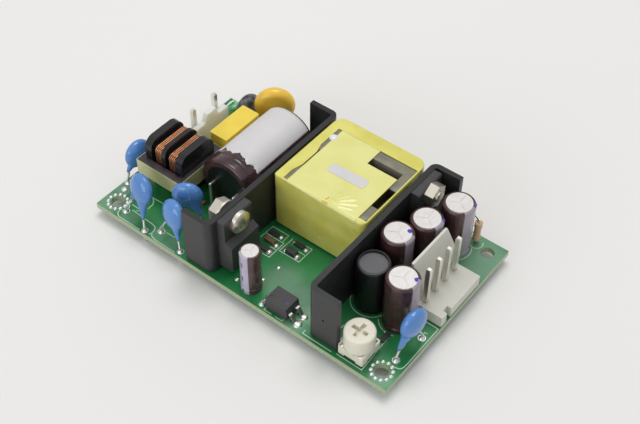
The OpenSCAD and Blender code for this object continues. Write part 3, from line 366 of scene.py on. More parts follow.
def tape_material(name, colour, shade, shade_below_height=None):
    """Glossy polyester tape with faint pulls along its length.

    Below a given height, in millimetres over the board, it is a little darker: painted shade,
    leaving the part above lighter as if lit.
    """
    material, nodes, links, shader = new_material(name, colour, 0.28, Coat_Weight=0.25)
    slow = object_noise(nodes, links, 160.0, 3.0)
    pulls = object_noise(nodes, links, 260.0, 4.0, (0.35, 0.35, 2.5))
    finish = ramp_between(nodes, links, slow, shade, colour, 0.3, 0.6)
    if shade_below_height:
        _, _, z = place_nodes(nodes, links)
        above_painted_shade = band(nodes, links, z, spot(0, 0, shade_below_height).z, CEILING, 0.0004)
        # painted shade: below the height the tape is dulled towards olive
        painted_shade_colour = mix_colour(nodes, links, 0.1, finish, tone(150, 140, 60))
        finish = mix_colour(nodes, links, above_painted_shade, painted_shade_colour, finish)
    links.new(finish, shader.inputs["Base Color"])
    add_bump(nodes, links, shader, pulls, 0.35, 0.0002)
    return material


def metal(name, colour, rough, scale=1500.0, bump=0.2):
    """Bare metal, with a fine change of roughness and a fine bump."""
    material, nodes, links, shader = new_material(name, colour, rough, Metallic=1.0)
    fine = object_noise(nodes, links, scale, 4.0)
    add_roughness(nodes, links, shader, fine, rough * 0.7, min(1.0, rough * 1.4))
    add_bump(nodes, links, shader, fine, bump, 0.00003)
    return material


def angle_from(nodes, links, x, y, centre, facing):
    """Degrees between a point's direction from a can's axis and where the stripe faces."""
    dx, dy = offsets(nodes, links, x, y, centre)
    cos, sin = math.cos(math.radians(facing)), math.sin(math.radians(facing))
    ahead = math_node(nodes, links, "ADD", math_node(nodes, links, "MULTIPLY", dx, cos),
                      math_node(nodes, links, "MULTIPLY", dy, sin))
    aside = math_node(nodes, links, "SUBTRACT", math_node(nodes, links, "MULTIPLY", dy, cos),
                      math_node(nodes, links, "MULTIPLY", dx, sin))
    return math_node(nodes, links, "MULTIPLY",
                     math_node(nodes, links, "ARCTAN2", aside, ahead), 180 / math.pi)


def can_material(name, facing, half, body, stripe, bars=None):
    """Shrunk sleeve: brown, with a pale polarity stripe and plain bars on the stripe.

    The stripe's middle and half its width are in degrees round the can. Bars are given as
    their pitch in millimetres, half their width in degrees and their colour.
    """
    material, nodes, links, shader = new_material(name, body, 0.2, Coat_Weight=0.2)
    x, y, z = place_nodes(nodes, links)
    angle = angle_from(nodes, links, x, y, middle(name), facing)
    on_stripe = band(nodes, links, angle, -half, half, 1.2)
    slow = object_noise(nodes, links, 300.0, 2.0)
    brown = ramp_between(nodes, links, slow, tuple(c * 0.75 for c in body),
                         tuple(c * 1.3 for c in body))
    pale = ramp_between(nodes, links, slow, tuple(c * 0.9 for c in stripe), stripe)
    if bars:
        pitch, bar_half, ink = bars
        along = math_node(nodes, links, "FRACT",
                          math_node(nodes, links, "MULTIPLY", z, 1 / (pitch * MM)))
        on_bar = math_node(nodes, links, "MULTIPLY",
                           band(nodes, links, along, 0.25, 0.62, 0.02),
                           band(nodes, links, angle, -bar_half, bar_half, 1.0))
        pale = mix_colour(nodes, links, on_bar, pale, ink)
    links.new(mix_colour(nodes, links, on_stripe, brown, pale), shader.inputs["Base Color"])
    fine = object_noise(nodes, links, 900.0, 3.0, (1, 1, 0.4))
    add_roughness(nodes, links, shader, slow, 0.16, 0.28)
    add_bump(nodes, links, shader, fine, 0.12, 0.00004)
    return material


# Dabs of ink: the can, and where the dab is from the can's axis in millimetres
DABS = [("output_capacitor_1", 2.6697, 1.2833), ("output_capacitor_2", 1.9037, 1.9569)]
DAB_RADIUS = 0.75


def top_material():
    """Satin aluminium, with a dab of blue marking ink at the edge of two of the cans."""
    material, nodes, links, shader = new_material("can_aluminium", (0.66, 0.64, 0.62), 0.5,
                                                  Metallic=0.3)
    x, y, _ = place_nodes(nodes, links)
    brushed = object_noise(nodes, links, 1600.0, 3.0, (1, 0.3, 1))
    colour = ramp_between(nodes, links, brushed, (0.65, 0.625, 0.605), (0.72, 0.695, 0.675))
    for can, dab_x, dab_y in DABS:
        centre = on_board(middle(can))
        dx, dy = offsets(nodes, links, x, y, spot(centre.x + dab_x, centre.y + dab_y))
        dx = math_node(nodes, links, "DIVIDE", dx, DAB_RADIUS * MM)
        dy = math_node(nodes, links, "DIVIDE", dy, DAB_RADIUS * MM)
        wobble = object_noise(nodes, links, 2500.0, 2.0)
        far = math_node(nodes, links, "ADD", squares(nodes, links, dx, dy), wobble)
        dab = band(nodes, links, far, -1.0, 1.15, 0.25)
        colour = mix_colour(nodes, links, dab, colour, tone(60, 55, 175))
    links.new(colour, shader.inputs["Base Color"])
    add_roughness(nodes, links, shader, brushed, 0.36, 0.5)
    return material


def anodised():
    """Black anodised plate: dull, with painted shade darkening the faces that point up."""
    material, nodes, links, shader = new_material("heatsink_black", (0.026, 0.026, 0.027),
                                                  0.42)
    slow = object_noise(nodes, links, 375.0, 2.0)
    fine = object_noise(nodes, links, 1500.0, 5.0)
    plain = ramp_between(nodes, links, slow, (0.020, 0.0195, 0.0205), (0.027, 0.0265, 0.0275))
    # painted shade: faces pointing up are mixed towards near black
    top = math_node(nodes, links, "MAXIMUM", upward(nodes, links), 0.0)
    links.new(mix_colour(nodes, links, top, plain, (0.007, 0.007, 0.0075)),
              shader.inputs["Base Color"])
    add_roughness(nodes, links, shader, slow, 0.36, 0.5)
    add_bump(nodes, links, shader, fine, 0.2, 0.00003)
    return material


WIRE = 0.5                  # pitch of the choke's turns
FIRST_TURN_X = 8.4


def wound_copper():
    """Enamelled copper, with painted shade in the grooves between neighbouring turns."""
    material, nodes, links, shader = new_material("enamelled_copper", tone(205, 140, 96),
                                                  0.24, Metallic=0.75)
    x, _, _ = place_nodes(nodes, links)
    from_first = math_node(nodes, links, "SUBTRACT", x, spot(FIRST_TURN_X, 0).x)
    across = math_node(nodes, links, "FRACT",
                       math_node(nodes, links, "DIVIDE", from_first, WIRE * MM))
    crown = band(nodes, links, across, 0.14, 0.86, 0.16)
    slow = object_noise(nodes, links, 300.0, 2.0)
    copper = ramp_between(nodes, links, slow, tone(196, 130, 86), tone(220, 156, 112))
    # painted shade: the grooves between turns are coloured dark brown
    links.new(mix_colour(nodes, links, crown, tone(70, 34, 22), copper),
              shader.inputs["Base Color"])
    add_roughness(nodes, links, shader, slow, 0.2, 0.32)
    return material


def wrinkled_sleeve():
    """Dark brown shrunk film with puckers that run lengthwise near the sealed end."""
    material, nodes, links, shader = new_material("bulk_sleeve", tone(66, 44, 48), 0.16,
                                                  Coat_Weight=0.3)
    slow = object_noise(nodes, links, 220.0, 3.0)
    links.new(ramp_between(nodes, links, slow, tone(46, 29, 33), tone(80, 54, 56)),
              shader.inputs["Base Color"])
    pucker = object_noise(nodes, links, 620.0, 3.0, (1.0, 0.22, 1.0))
    add_roughness(nodes, links, shader, slow, 0.12, 0.24)
    add_bump(nodes, links, shader, pucker, 0.45, 0.0003)
    return material


PAINTED_SHADE_HEIGHT = 12.2          # height over the board below which the transformer's tape gets painted shade
# Output cans: where the pale stripe faces and half its width, in degrees
CANS = [("output_capacitor_1", 4, 27), ("output_capacitor_2", -3, 26),
        ("output_capacitor_3", 3, 29), ("output_capacitor_4", -11, 27)]
# Plain finishes: colour, roughness, how much the shade varies, waves per metre, bump and
# further sockets
MOTTLED = {
    "nylon": (tone(208, 207, 197), 0.40, 0.04, 400.0, 0.08, dict(
        Subsurface_Weight=0.3, Subsurface_Scale=0.0015, Subsurface_Radius=(1.0, 0.95, 0.85))),
    "clear_nylon": (tone(230, 228, 218), 0.36, 0.03, 400.0, 0.08, dict(
        Subsurface_Weight=0.8, Subsurface_Scale=0.004, Subsurface_Radius=(1.0, 0.95, 0.85))),
    "trimmer_plastic": (tone(226, 222, 204), 0.38, 0.03, 500.0, 0.15, dict(
        Subsurface_Weight=0.2, Subsurface_Scale=0.001, Subsurface_Radius=(1.0, 0.9, 0.75))),
    "blue_epoxy": (tone(84, 134, 198), 0.12, 0.05, 300.0, 0.06, dict(Coat_Weight=0.3)),
    "fuse_green": (tone(124, 210, 150), 0.3, 0.1, 700.0, 0.15, {}),
    "thermistor_coat": (tone(78, 76, 82), 0.42, 0.75, 2600.0, 0.15, {}),
    "varistor_coat": (tone(238, 194, 72), 0.2, 0.12, 500.0, 0.15, {}),
    "film_case": (tone(232, 205, 72), 0.42, 0.04, 900.0, 0.15, {}),
    "ferrite": (tone(122, 118, 100), 0.34, 0.12, 1800.0, 0.3, {}),
    "choke_ferrite": (tone(58, 53, 58), 0.36, 0.22, 1500.0, 0.3, {}),
    "inductor_ferrite": (tone(92, 92, 95), 0.4, 0.08, 1500.0, 0.15, {}),
    "bobbin_plastic": ((0.012, 0.012, 0.014), 0.26, 0.2, 900.0, 0.15, {}),
    "paper_label": (tone(207, 205, 205), 0.45, 0.02, 700.0, 0.06, {}),
    "bung_rubber": ((0.006, 0.006, 0.007), 0.3, 0.2, 1500.0, 0.15, {}),
    "package_black": ((0.035, 0.035, 0.036), 0.45, 0.15, 2500.0, 0.3, {}),
    "white_glue": (tone(226, 225, 224), 0.3, 0.03, 400.0, 0.15, {}),
    "shrink_sleeve": ((0.0085, 0.008, 0.009), 0.3, 0.2, 400.0, 0.15, {}),
    "resistor_body": (tone(206, 176, 140), 0.35, 0.06, 900.0, 0.15, {}),
    "chip_ceramic": (tone(120, 96, 66), 0.35, 0.1, 1500.0, 0.15, {}),
    "print_ink": (tone(186, 212, 190), 0.5, 0.06, 1500.0, 0.15, {}),
    "marking_ink": (tone(70, 50, 92), 0.5, 0.1, 1500.0, 0.15, {}),
    "blue_ink": (tone(66, 62, 172), 0.4, 0.1, 1500.0, 0.15, {}),
    # painted shade colour for the deep step, the notch and the winding seen through them
    "painted_shade_olive": (tone(38, 34, 14), 0.4, 0.2, 1500.0, 0.15, {}),
}


def make_materials():
    made = {name: mottled(name, colour, rough, vary, scale, bump, **sockets)
            for name, (colour, rough, vary, scale, bump, sockets) in MOTTLED.items()}
    for name, colour, shade, shade_below_height in (
            ("pale_tape", tone(196, 194, 150), tone(182, 178, 118), None),
            ("yellow_tape", tone(222, 217, 116), tone(208, 200, 88), PAINTED_SHADE_HEIGHT),
            ("sheet_tape", tone(225, 223, 143), tone(219, 216, 128), None),
            ("orange_fold", tone(214, 176, 64), tone(196, 150, 40), None)):
        made[name] = tape_material(name, colour, shade, shade_below_height)
    made["tin_solder"] = metal("tin_solder", (0.80, 0.80, 0.79), 0.38, 900.0, 0.4)
    made["tinned_wire"] = metal("tinned_wire", (0.80, 0.79, 0.76), 0.36)
    made["pin_metal"] = metal("pin_metal", (0.80, 0.79, 0.73), 0.32, 1500.0, 0.04)
    made["screw_steel"] = metal("screw_steel", (0.78, 0.73, 0.63), 0.34)
    made["solder_mask_board"] = board_material()
    made["enamelled_copper"] = wound_copper()
    made["bulk_sleeve"] = wrinkled_sleeve()
    made["heatsink_black"] = anodised()
    made["can_aluminium"] = top_material()
    for can, faces, half in CANS:
        made[can] = can_material(can, faces, half, tone(66, 42, 44), tone(156, 147, 157))
    made["start_capacitor"] = can_material("start_capacitor", -101, 38, tone(78, 56, 56),
                                           tone(180, 174, 194), (4.6, 7.0, tone(96, 92, 128)))
    return made


MATERIALS = make_materials()
# Nodes whose finish is their own, and not their slot's
NODE_FINISH = {"choke_core": "choke_ferrite", "inductor_core": "inductor_ferrite",
               # the transformer's winding, seen only deep inside the step, is coloured as
               # painted shade
               "ac_inlet_header": "clear_nylon", "transformer_winding": "painted_shade_olive",
               "start_capacitor": "start_capacitor", **{can: can for can, _, _ in CANS}}

# Edge radii in millimetres
BEVELS = {
    "primary_heatsink": 0.18, "secondary_heatsink": 0.18, "ac_inlet_header": 0.2,
    "output_header": 0.18, "film_capacitor": 0.35, "choke_core": 0.18, "choke_bobbin": 0.28,
    "primary_transistor": 0.12, "secondary_rectifier": 0.12, "optocoupler": 0.12,
    "trimmer_base": 0.1, "trimmer_rotor": 0.22, "chip_capacitors": 0.1,
    "chip_resistors": 0.08, "chip_diodes": 0.12, "clamp_nuts": 0.15,
    "ac_inlet_pins": 0.08, "output_pins": 0.08, "bulk_capacitor_bung": 0.12,
}


def bevel(obj, width):
    """Rounds the sharper edges over a width in millimetres."""
    modifier = obj.modifiers.new("edges", "BEVEL")
    modifier.width = width * MM
    modifier.segments = 2
    modifier.limit_method = "ANGLE"
    modifier.angle_limit = math.radians(35)
    modifier.harden_normals = False


def split_edges(obj, degrees=34.0):
    """Keeps edges sharper than this angle crisp where the faces are smooth."""
    obj.modifiers.new("split", "EDGE_SPLIT").split_angle = math.radians(degrees)


def thicken(obj, thickness):
    """Gives a thin sheet a thickness, in millimetres."""
    obj.modifiers.new("film", "SOLIDIFY").thickness = thickness * MM


def dress_nodes():
    """Gives every node its finish, small edge radii and smooth round faces."""
    slots = {s["node"]: s["material_slot"] for s in frame["record"]["subparts"]}
    for name, obj in frame["nodes"].items():
        obj.data.materials.clear()
        obj.data.materials.append(MATERIALS[NODE_FINISH.get(name, slots[name])])
        for polygon in obj.data.polygons:
            polygon.use_smooth = True
        if name in BEVELS:
            bevel(obj, BEVELS[name])
        split_edges(obj)


# ---------------------------------------------------------------- mesh helpers
def new_piece(name, mesh, slot, body=BODY, material=None, smooth=True):
    """Links a mesh as a piece of the object, gives it a finish and lets it ride."""
    obj = bpy.data.objects.new(name, mesh)
    bpy.context.scene.collection.objects.link(obj)
    mesh.materials.clear()
    mesh.materials.append(material or MATERIALS[slot])
    for polygon in mesh.polygons:
        polygon.use_smooth = smooth
    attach(obj, body)
    return obj


def mesh_from(bm, name):
    bmesh.ops.recalc_face_normals(bm, faces=bm.faces[:])
    mesh = bpy.data.meshes.new(name)
    bm.to_mesh(mesh)
    bm.free()
    return mesh


def applied(obj):
    """The object's mesh with its modifiers applied; the object itself goes."""
    bpy.context.view_layer.update()
    graph = bpy.context.evaluated_depsgraph_get()
    mesh = bpy.data.meshes.new_from_object(obj.evaluated_get(graph))
    bpy.data.objects.remove(obj)
    return mesh


def scratch(mesh):
    obj = bpy.data.objects.new("scratch", mesh)
    bpy.context.scene.collection.objects.link(obj)
    return obj


def bridge(bm, loops, closed=True):
    """Faces between neighbouring rows of points, each row closed or open."""
    count = len(loops[0])
    for a, b in zip(loops, loops[1:]):
        for i in range(count if closed else count - 1):
            j = (i + 1) % count
            bm.faces.new((a[i], a[j], b[j], b[i]))


def ribbon(bm, points, width, z):
    """Flat strip along a path on the board, with mitred corners. Millimetres."""
    path = [Vector(p) for p in points]
    rails = []
    for i, p in enumerate(path):
        before = (p - path[i - 1]).normalized() if i else None
        after = (path[i + 1] - p).normalized() if i < len(path) - 1 else None
        if before is None:
            before = after
        if after is None:
            after = before
        along = (before + after).normalized()
        side = Vector((-along.y, along.x))
        reach = width / 2 / max(0.4, along.dot(before))
        rails.append([bm.verts.new(spot(*(p + side * reach * s), z)) for s in (1, -1)])
    bridge(bm, rails, closed=False)


def arc(x, y, r, start, end, steps=14):
    """Points along an arc, from one angle to another in degrees."""
    angles = [math.radians(start + (end - start) * i / steps) for i in range(steps + 1)]
    return [(x + r * math.cos(a), y + r * math.sin(a)) for a in angles]


def dome(bm, x, y, z, r, h, sides=16, rings=5, power=1.0):
    """Bead of solder, glue or ink on a face. Millimetres."""
    loops = []
    for k in range(rings):
        turn = math.pi / 2 * k / rings
        out, up = r * math.cos(turn) ** power, h * math.sin(turn)
        loops.append([bm.verts.new(spot(x + out * math.cos(2 * math.pi * i / sides),
                                        y + out * math.sin(2 * math.pi * i / sides), z + up))
                      for i in range(sides)])
    bridge(bm, loops)
    tip = bm.verts.new(spot(x, y, z + h))
    for i in range(sides):
        bm.faces.new((loops[-1][i], loops[-1][(i + 1) % sides], tip))


def slab(bm, x0, x1, y0, y1, z0, z1):
    """A plain box, in millimetres."""
    corners = [bm.verts.new(spot(x, y, z)) for z in (z0, z1)
               for x, y in ((x0, y0), (x1, y0), (x1, y1), (x0, y1))]
    for face in ((0, 3, 2, 1), (4, 5, 6, 7), (0, 1, 5, 4), (1, 2, 6, 5), (2, 3, 7, 6),
                 (3, 0, 4, 7)):
        bm.faces.new([corners[i] for i in face])


def prism(bm, section, y0, y1):
    """A section in X and Z, drawn out along Y. Millimetres."""
    ends = [[bm.verts.new(spot(x, y, z)) for x, z in section] for y in (y0, y1)]
    bm.faces.new(ends[0])
    bm.faces.new(ends[1][::-1])
    bridge(bm, ends)


# ---------------------------------------------------------------- board print and solder
LINE_WIDTH = 0.24
LINE_HEIGHT = 0.02
# Lines printed on the board, each a path in millimetres
OUTLINES = [
    # two groups of boxes round the small chips
    [(39.2, 16.9), (39.4, 21.5), (44.35, 21.5), (44.4, 18.85)],
    [(39.2, 18.78), (44.95, 18.83), (45.0, 13.3), (42.9, 13.2)],
    [(43.0, 16.0), (45.0, 16.1)],
    [(45.6, 18.1), (45.7, 21.45)], [(45.6, 18.1), (45.55, 16.4), (51.5, 16.5),
                                    (51.53, 21.6), (49.3, 21.45)],
    [(49.3, 18.98), (51.5, 19.1)],
    # optocoupler
    [(54.1, 1.35), (54.1, 0.5), (56.3, 0.5)], [(57.4, 0.5), (59.4, 0.5), (59.45, 1.25)],
    # near edge, round the mounting hole
    [(6.2, 1.9), (6.35, 1.2), (6.8, 0.6), (7.5, 0.32), (8.9, 0.3), (14.6, 0.3)],
    [(17.45, 0.65), (17.7, 1.6)],
    [(8.6, 3.9), (9.9, 3.85), (13.3, 3.65), (15.7, 3.6), (17.0, 3.3), (17.55, 2.5),
     (17.7, 1.4), (18.4, 0.65), (19.7, 0.3), (22.7, 0.3), (26.4, 0.3)],
    [(7.3, 5.2), (9.6, 5.15)], [(9.5, 4.35), (10.0, 4.6), (10.6, 5.15)],
    [(9.3, 10.05), (13.3, 10.25)], [(9.9, 9.9), (10.8, 9.2), (11.3, 8.3), (11.4, 6.6)],
    [(20.5, 3.7), (23.2, 3.8)],
    [(5.2, 6.1), (6.2, 5.4), (6.9, 4.65), (7.5, 3.8)],
    # heatsink foot and trimmer
    [(65.2, 1.8), (65.2, 0.75), (73.4, 0.75)],
    [(74.6, 1.05), (81.5, 1.05), (81.55, 2.0), (81.0, 12.2)],
    [(72.9, 3.4), (73.0, 5.8)], [(71.05, 7.1), (71.2, 8.5)],
    [(80.15, 8.45), (81.3, 8.55)],
    # output corner
    [(85.9, 5.9), (87.1, 6.2), (88.0, 6.5), (88.4, 7.3), (88.5, 8.8), (88.55, 20.9)],
    [(88.5, 20.75), (80.4, 20.75)],
    [(85.15, 12.8), (85.2, 11.0)], [(86.7, 16.2), (86.7, 18.1), (87.5, 18.1)],
]


def make_print():
    """White component outlines on the board's top face, without the lettering."""
    paths = OUTLINES + [arc(81.3, 48.0, 1.7, -150, 40, 12)]
    for node, r, start, end, steps in (("inductor_sleeve", 4.85, 195, 345, 22),
                                       ("output_capacitor_1", 4.7, 215, 290, 12),
                                       ("output_capacitor_4", 4.55, -75, 40, 16)):
        centre = on_board(middle(node))
        paths.append(arc(centre.x, centre.y, r, start, end, steps))
    bm = bmesh.new()
    for path in paths:
        ribbon(bm, path, LINE_WIDTH, LINE_HEIGHT)
    new_piece("board_print", mesh_from(bm, "board_print"), "paper_label",
              material=MATERIALS["print_ink"], smooth=False)


# Solder beads: place, radius and height
BEADS = [
    (43.2, 19.98, 0.72, 0.4), (43.95, 17.1, 0.8, 0.5), (43.95, 14.5, 0.85, 0.6),
    (50.5, 20.5, 0.72, 0.4), (50.2, 17.4, 0.85, 0.7), (46.8, 20.6, 0.6, 0.35),
    (46.6, 17.3, 0.65, 0.4), (48.8, 12.15, 0.6, 0.3), (48.3, 7.0, 0.7, 0.5),
    (43.45, 3.4, 0.6, 0.4), (52.75, 1.45, 0.85, 0.55), (52.6, 3.9, 0.7, 0.4),
    (62.72, 4.45, 0.98, 0.5), (62.84, 1.98, 1.1, 0.55), (59.38, 5.87, 0.5, 0.25),
    (80.4, 11.15, 0.5, 0.4), (79.6, 12.6, 0.45, 0.35), (1.95, 7.8, 0.85, 0.35),
    (40.6, 20.0, 0.5, 0.3), (41.0, 17.3, 0.5, 0.35),
]


def make_solder():
    """Beads where the small parts and the wire ends are soldered on the top face."""
    bm = bmesh.new()
    for x, y, r, h in BEADS:
        dome(bm, x, y, 0.0, r, h, power=1.3)
    new_piece("solder_beads", mesh_from(bm, "solder_beads"), "tin_solder")


# ---------------------------------------------------------------- dipped discs
# Centre, foot of the coated lead, foot of the bare lead, lean of the top in degrees
DISCS = [
    ((1.95, 13.8, 8.1), (1.1, 10.0), (1.3, 17.7), 0),
    ((21.9, 10.6, 8.6), (26.2, 11.2), (20.4, 7.7), 0),
    ((12.4, 4.6, 9.5), (15.8, 0.95), (7.7, 2.7), -15),
    ((23.5, 4.0, 8.4), (27.2, 1.35), (19.2, 3.2), -12),
    ((86.637, 12.6, 9.2), (85.987, 7.9), (87.037, 16.4), 0),
]
DISC_RADII = (3.95, 2.0, 3.95)
WAIST_RADII = (3.1, 1.6, 3.1)
NECK_RADII = (0.95, 0.85, 0.8)
# Where the coating ends on each lead: share of the way from the foot to the middle,
# height and radius
COATED_TAIL = (0.14, 3.9, 0.5)
BARE_TAIL = (0.4, 5.4, 0.45)


def ball_points(centre, radii, turn, rows=10, sides=20):
    points = []
    for i in range(1, rows):
        high = math.pi * i / rows
        for j in range(sides):
            round_ = 2 * math.pi * j / sides
            p = Vector((radii[0] * math.sin(high) * math.cos(round_),
                        radii[1] * math.sin(high) * math.sin(round_),
                        radii[2] * math.cos(high)))
            points.append(centre + turn @ p)
    points.append(centre + turn @ Vector((0, 0, radii[2])))
    points.append(centre + turn @ Vector((0, 0, -radii[2])))
    return points


def hull_into(bm, points):
    part = bmesh.new()
    for p in points:
        part.verts.new(spot(*p))
    bmesh.ops.convex_hull(part, input=part.verts[:])
    bmesh.ops.delete(part, geom=[v for v in part.verts if not v.link_faces], context="VERTS")
    mesh = bpy.data.meshes.new("part")
    part.to_mesh(mesh)
    part.free()
    bm.from_mesh(mesh)
    bpy.data.meshes.remove(mesh)


def melted(bm, voxel, rounds):
    """One smooth skin round everything in bm."""
    obj = scratch(mesh_from(bm, "melt"))
    remesh = obj.modifiers.new("remesh", "REMESH")
    remesh.mode = "VOXEL"
    remesh.voxel_size = voxel * MM
    smooth = obj.modifiers.new("smooth", "SMOOTH")
    smooth.factor = 0.5
    smooth.iterations = rounds
    return applied(obj)


def make_discs():
    """Disc capacitors dipped in blue epoxy, with a run of coating down one lead."""
    for i, (centre, coated, bare, lean) in enumerate(DISCS, 1):
        centre = Vector(centre)
        across = math.atan2(bare[1] - coated[1], bare[0] - coated[0])
        turn = Matrix.Rotation(across, 3, "Z") @ Matrix.Rotation(math.radians(-lean), 3, "X")
        bm = bmesh.new()
        waist = ball_points(centre - Vector((0, 0, 0.6)), WAIST_RADII, turn)
        for foot, k, z, r in ((coated, *COATED_TAIL), (bare, *BARE_TAIL)):
            tail = Vector((foot[0] + k * (centre.x - foot[0]),
                           foot[1] + k * (centre.y - foot[1]), z))
            neck = ball_points(tail + (centre - tail) * 0.3, NECK_RADII, turn, 6, 12)
            hull_into(bm, waist + neck)
            hull_into(bm, neck + ball_points(tail, (r, r, r), turn, 6, 12))
        hull_into(bm, ball_points(centre, DISC_RADII, turn))
        disc = new_piece(f"dipped_disc_{i}", melted(bm, 0.16, 10), "blue_epoxy")
        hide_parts(f"disc_capacitor_{i}")


# ---------------------------------------------------------------- taped transformer
TAPE_CORNERS = (1.1, 1.6, 3.0, 3.0)             # radii, near left corner first
TAPE_LEVELS = (4.0, 7.0, 9.6, 9.9, 12.6, 12.9, 14.6)
TAPE_GROOVES = (9.9, 12.6)                      # heights where one turn ends over another
GROOVE_DEPTH = 0.05
LIP_LEFT, LIP_RIGHT, LIP_NEAR, LIP_BACK = 2.8, 0.35, 0.35, 4.3
SHEET_PITCH = 0.28
SHEET_DROP = 0.35                               # how far it hangs down the near face
SHEET_STEP = (11.3, 5.4)                        # the corner that it leaves open
FOLD_HUB_X = 54.2
# Folds in the sheet: direction in degrees, reach, half width and rise
FOLDS = [(97, 3.4, 0.2, 0.2), (78, 4.6, 0.2, 0.3), (62, 5.6, 0.22, 0.3),
         (47, 6.4, 0.24, 0.26), (33, 6.8, 0.24, 0.22), (19, 6.0, 0.2, 0.2)]
# Corners of the tuck: X, then Y and Z from the near edge of the block's top
TUCK = [(52.9, 0.0, -0.12), (54.6, 0.05, -0.1), (54.3, 1.6, 0.14), (53.9, 2.9, 0.1),
        (53.5, 1.5, 0.13)]


def clamp(value):
    return min(1.0, max(0.0, value))


def band_outline(low, high, radii, steps=6):
    """Outline of the taped block, near left corner first, with a normal at each point."""
    corners = [(low.x, low.y, 180), (high.x, low.y, 270), (high.x, high.y, 0),
               (low.x, high.y, 90)]
    outline = []
    for (cx, cy, start), r in zip(corners, radii):
        ox = cx + r if start in (180, 90) else cx - r
        oy = cy + r if start in (180, 270) else cy - r
        for k in range(steps + 1):
            a = math.radians(start + 90 * k / steps)
            normal = Vector((math.cos(a), math.sin(a)))
            outline.append((Vector((ox, oy)) + normal * r, normal))
    return outline


def with_midpoints(outline, longest=6, parts=8):
    """The outline with points along its straight sides, which keep the shading even."""
    full = []
    for (p, n), (q, _) in zip(outline, outline[1:] + outline[:1]):
        full.append((p, n))
        if (q - p).length > longest:
            full += [(p.lerp(q, k / parts), n) for k in range(1, parts)]
    return full


def make_tape():
    """Tape wound round the transformer and turned in over its top edges."""
    low, high = box_mm("transformer_tape")
    top = high.z
    outline = with_midpoints(band_outline(low, high, TAPE_CORNERS))

    def edge_radius(p, n):
        """How broadly the tape rolls over the top edge here."""
        near = max(0.0, -n.y) * (0.45 + 0.45 * clamp((p.x - low.x - 4) / 12))
        return max(0.28, near, 0.75 * max(0.0, -n.x), 0.8 * max(0.0, n.y))

    left, right = low.x + LIP_LEFT, high.x - LIP_RIGHT
    near, back = low.y + LIP_NEAR, high.y - LIP_BACK

    def lip(p):
        """Inner edge of the turned-in tape, level with this point of the outline."""
        x = min(max(p.x, left), right)
        y = min(max(p.y, near + (0.0 if p.x < left + 2 else 0.9)), back)
        if p.x < low.x + 4 and low.y + 6.5 < p.y < low.y + 13:
            x = left + 0.75
        return Vector((x, y))

    rows = []
    for z in (low.z, *TAPE_LEVELS):
        inset = GROOVE_DEPTH if z in TAPE_GROOVES else 0.0
        rows.append([spot(*(p - n * inset), z) for p, n in outline])
    for k in range(6):
        turn = math.pi / 2 * k / 5
        rows.append([spot(*(p - n * edge_radius(p, n) * (1 - math.cos(turn))),
                          top - edge_radius(p, n) * (1 - math.sin(turn)))
                     for p, n in outline])
    for drop in (0.02, 0.9):
        rows.append([spot(*lip(p), top - drop) for p, _ in outline])
    bm = bmesh.new()
    bridge(bm, [[bm.verts.new(v) for v in row] for row in rows])
    bmesh.ops.remove_doubles(bm, verts=bm.verts[:], dist=0.00001)
    piece = new_piece("wound_tape", mesh_from(bm, "wound_tape"), "yellow_tape")
    split_edges(piece, 50)
    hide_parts("transformer_tape")


def sheet_height(x, y, low, top):
    """The top sheet's surface: nearly flat, with folds that fan out of one tuck."""
    z = top + 0.03 + 0.05 * noise.noise(Vector((x * 0.22, y * 0.22, 3.1)))
    from_hub = Vector((x, y)) - Vector((FOLD_HUB_X, low.y + 0.2))
    away = from_hub.length
    angle = math.degrees(math.atan2(from_hub.y, from_hub.x))
    for direction, reach, width, rise in FOLDS:
        aside = away * math.sin(math.radians(angle - direction))
        ahead = away * math.cos(math.radians(angle - direction))
        if 0.7 < ahead < reach + 1.2:
            fade = min(1.0, (ahead - 0.7) / 0.6) * min(1.0, (reach + 1.2 - ahead) / 1.4)
            z += rise * fade * math.exp(-(aside / width) ** 2)
    return z


def make_sheet():
    """Loose light sheet over the ferrite, folded down over the near edge."""
    low, high = box_mm("transformer_tape")
    sheet_low, sheet_high = box_mm("transformer_top_sheet")
    top = high.z
    left, right, far = sheet_low.x, sheet_high.x, sheet_high.y
    step_x, step_y = left + SHEET_STEP[0], far - SHEET_STEP[1]
    near = low.y - 0.035
    nx = int((right - left) / SHEET_PITCH)
    ny = int((far - low.y) / SHEET_PITCH)
    bm = bmesh.new()
    columns = []
    for i in range(nx + 1):
        x = left + (right - left) * i / nx
        roll = 0.3 + 0.55 * clamp((x - left) / 12)
        column = [(near, top - roll - SHEET_DROP * (1 - k / 6)) for k in range(7)]
        for k in range(1, 7):
            turn = math.pi / 2 * k / 6
            column.append((near + roll * (1 - math.cos(turn)),
                           top - roll + (roll + 0.03) * math.sin(turn)))
        start = near + roll
        for k in range(1, ny + 1):
            y = start + (far - start) * k / ny
            column.append((y, sheet_height(x, y, low, top)))
        columns.append([bm.verts.new(spot(x, y, z)) for y, z in column])
    for a, b in zip(columns, columns[1:]):
        for k in range(len(a) - 1):
            corner = on_board(a[k].co)
            if corner.y <= step_y or corner.x <= step_x:
                bm.faces.new((a[k], b[k], b[k + 1], a[k + 1]))
    bmesh.ops.delete(bm, geom=[v for v in bm.verts if not v.link_faces], context="VERTS")
    piece = new_piece("top_sheet", mesh_from(bm, "top_sheet"), "sheet_tape")
    thicken(piece, 0.06)
    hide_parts("transformer_top_sheet")


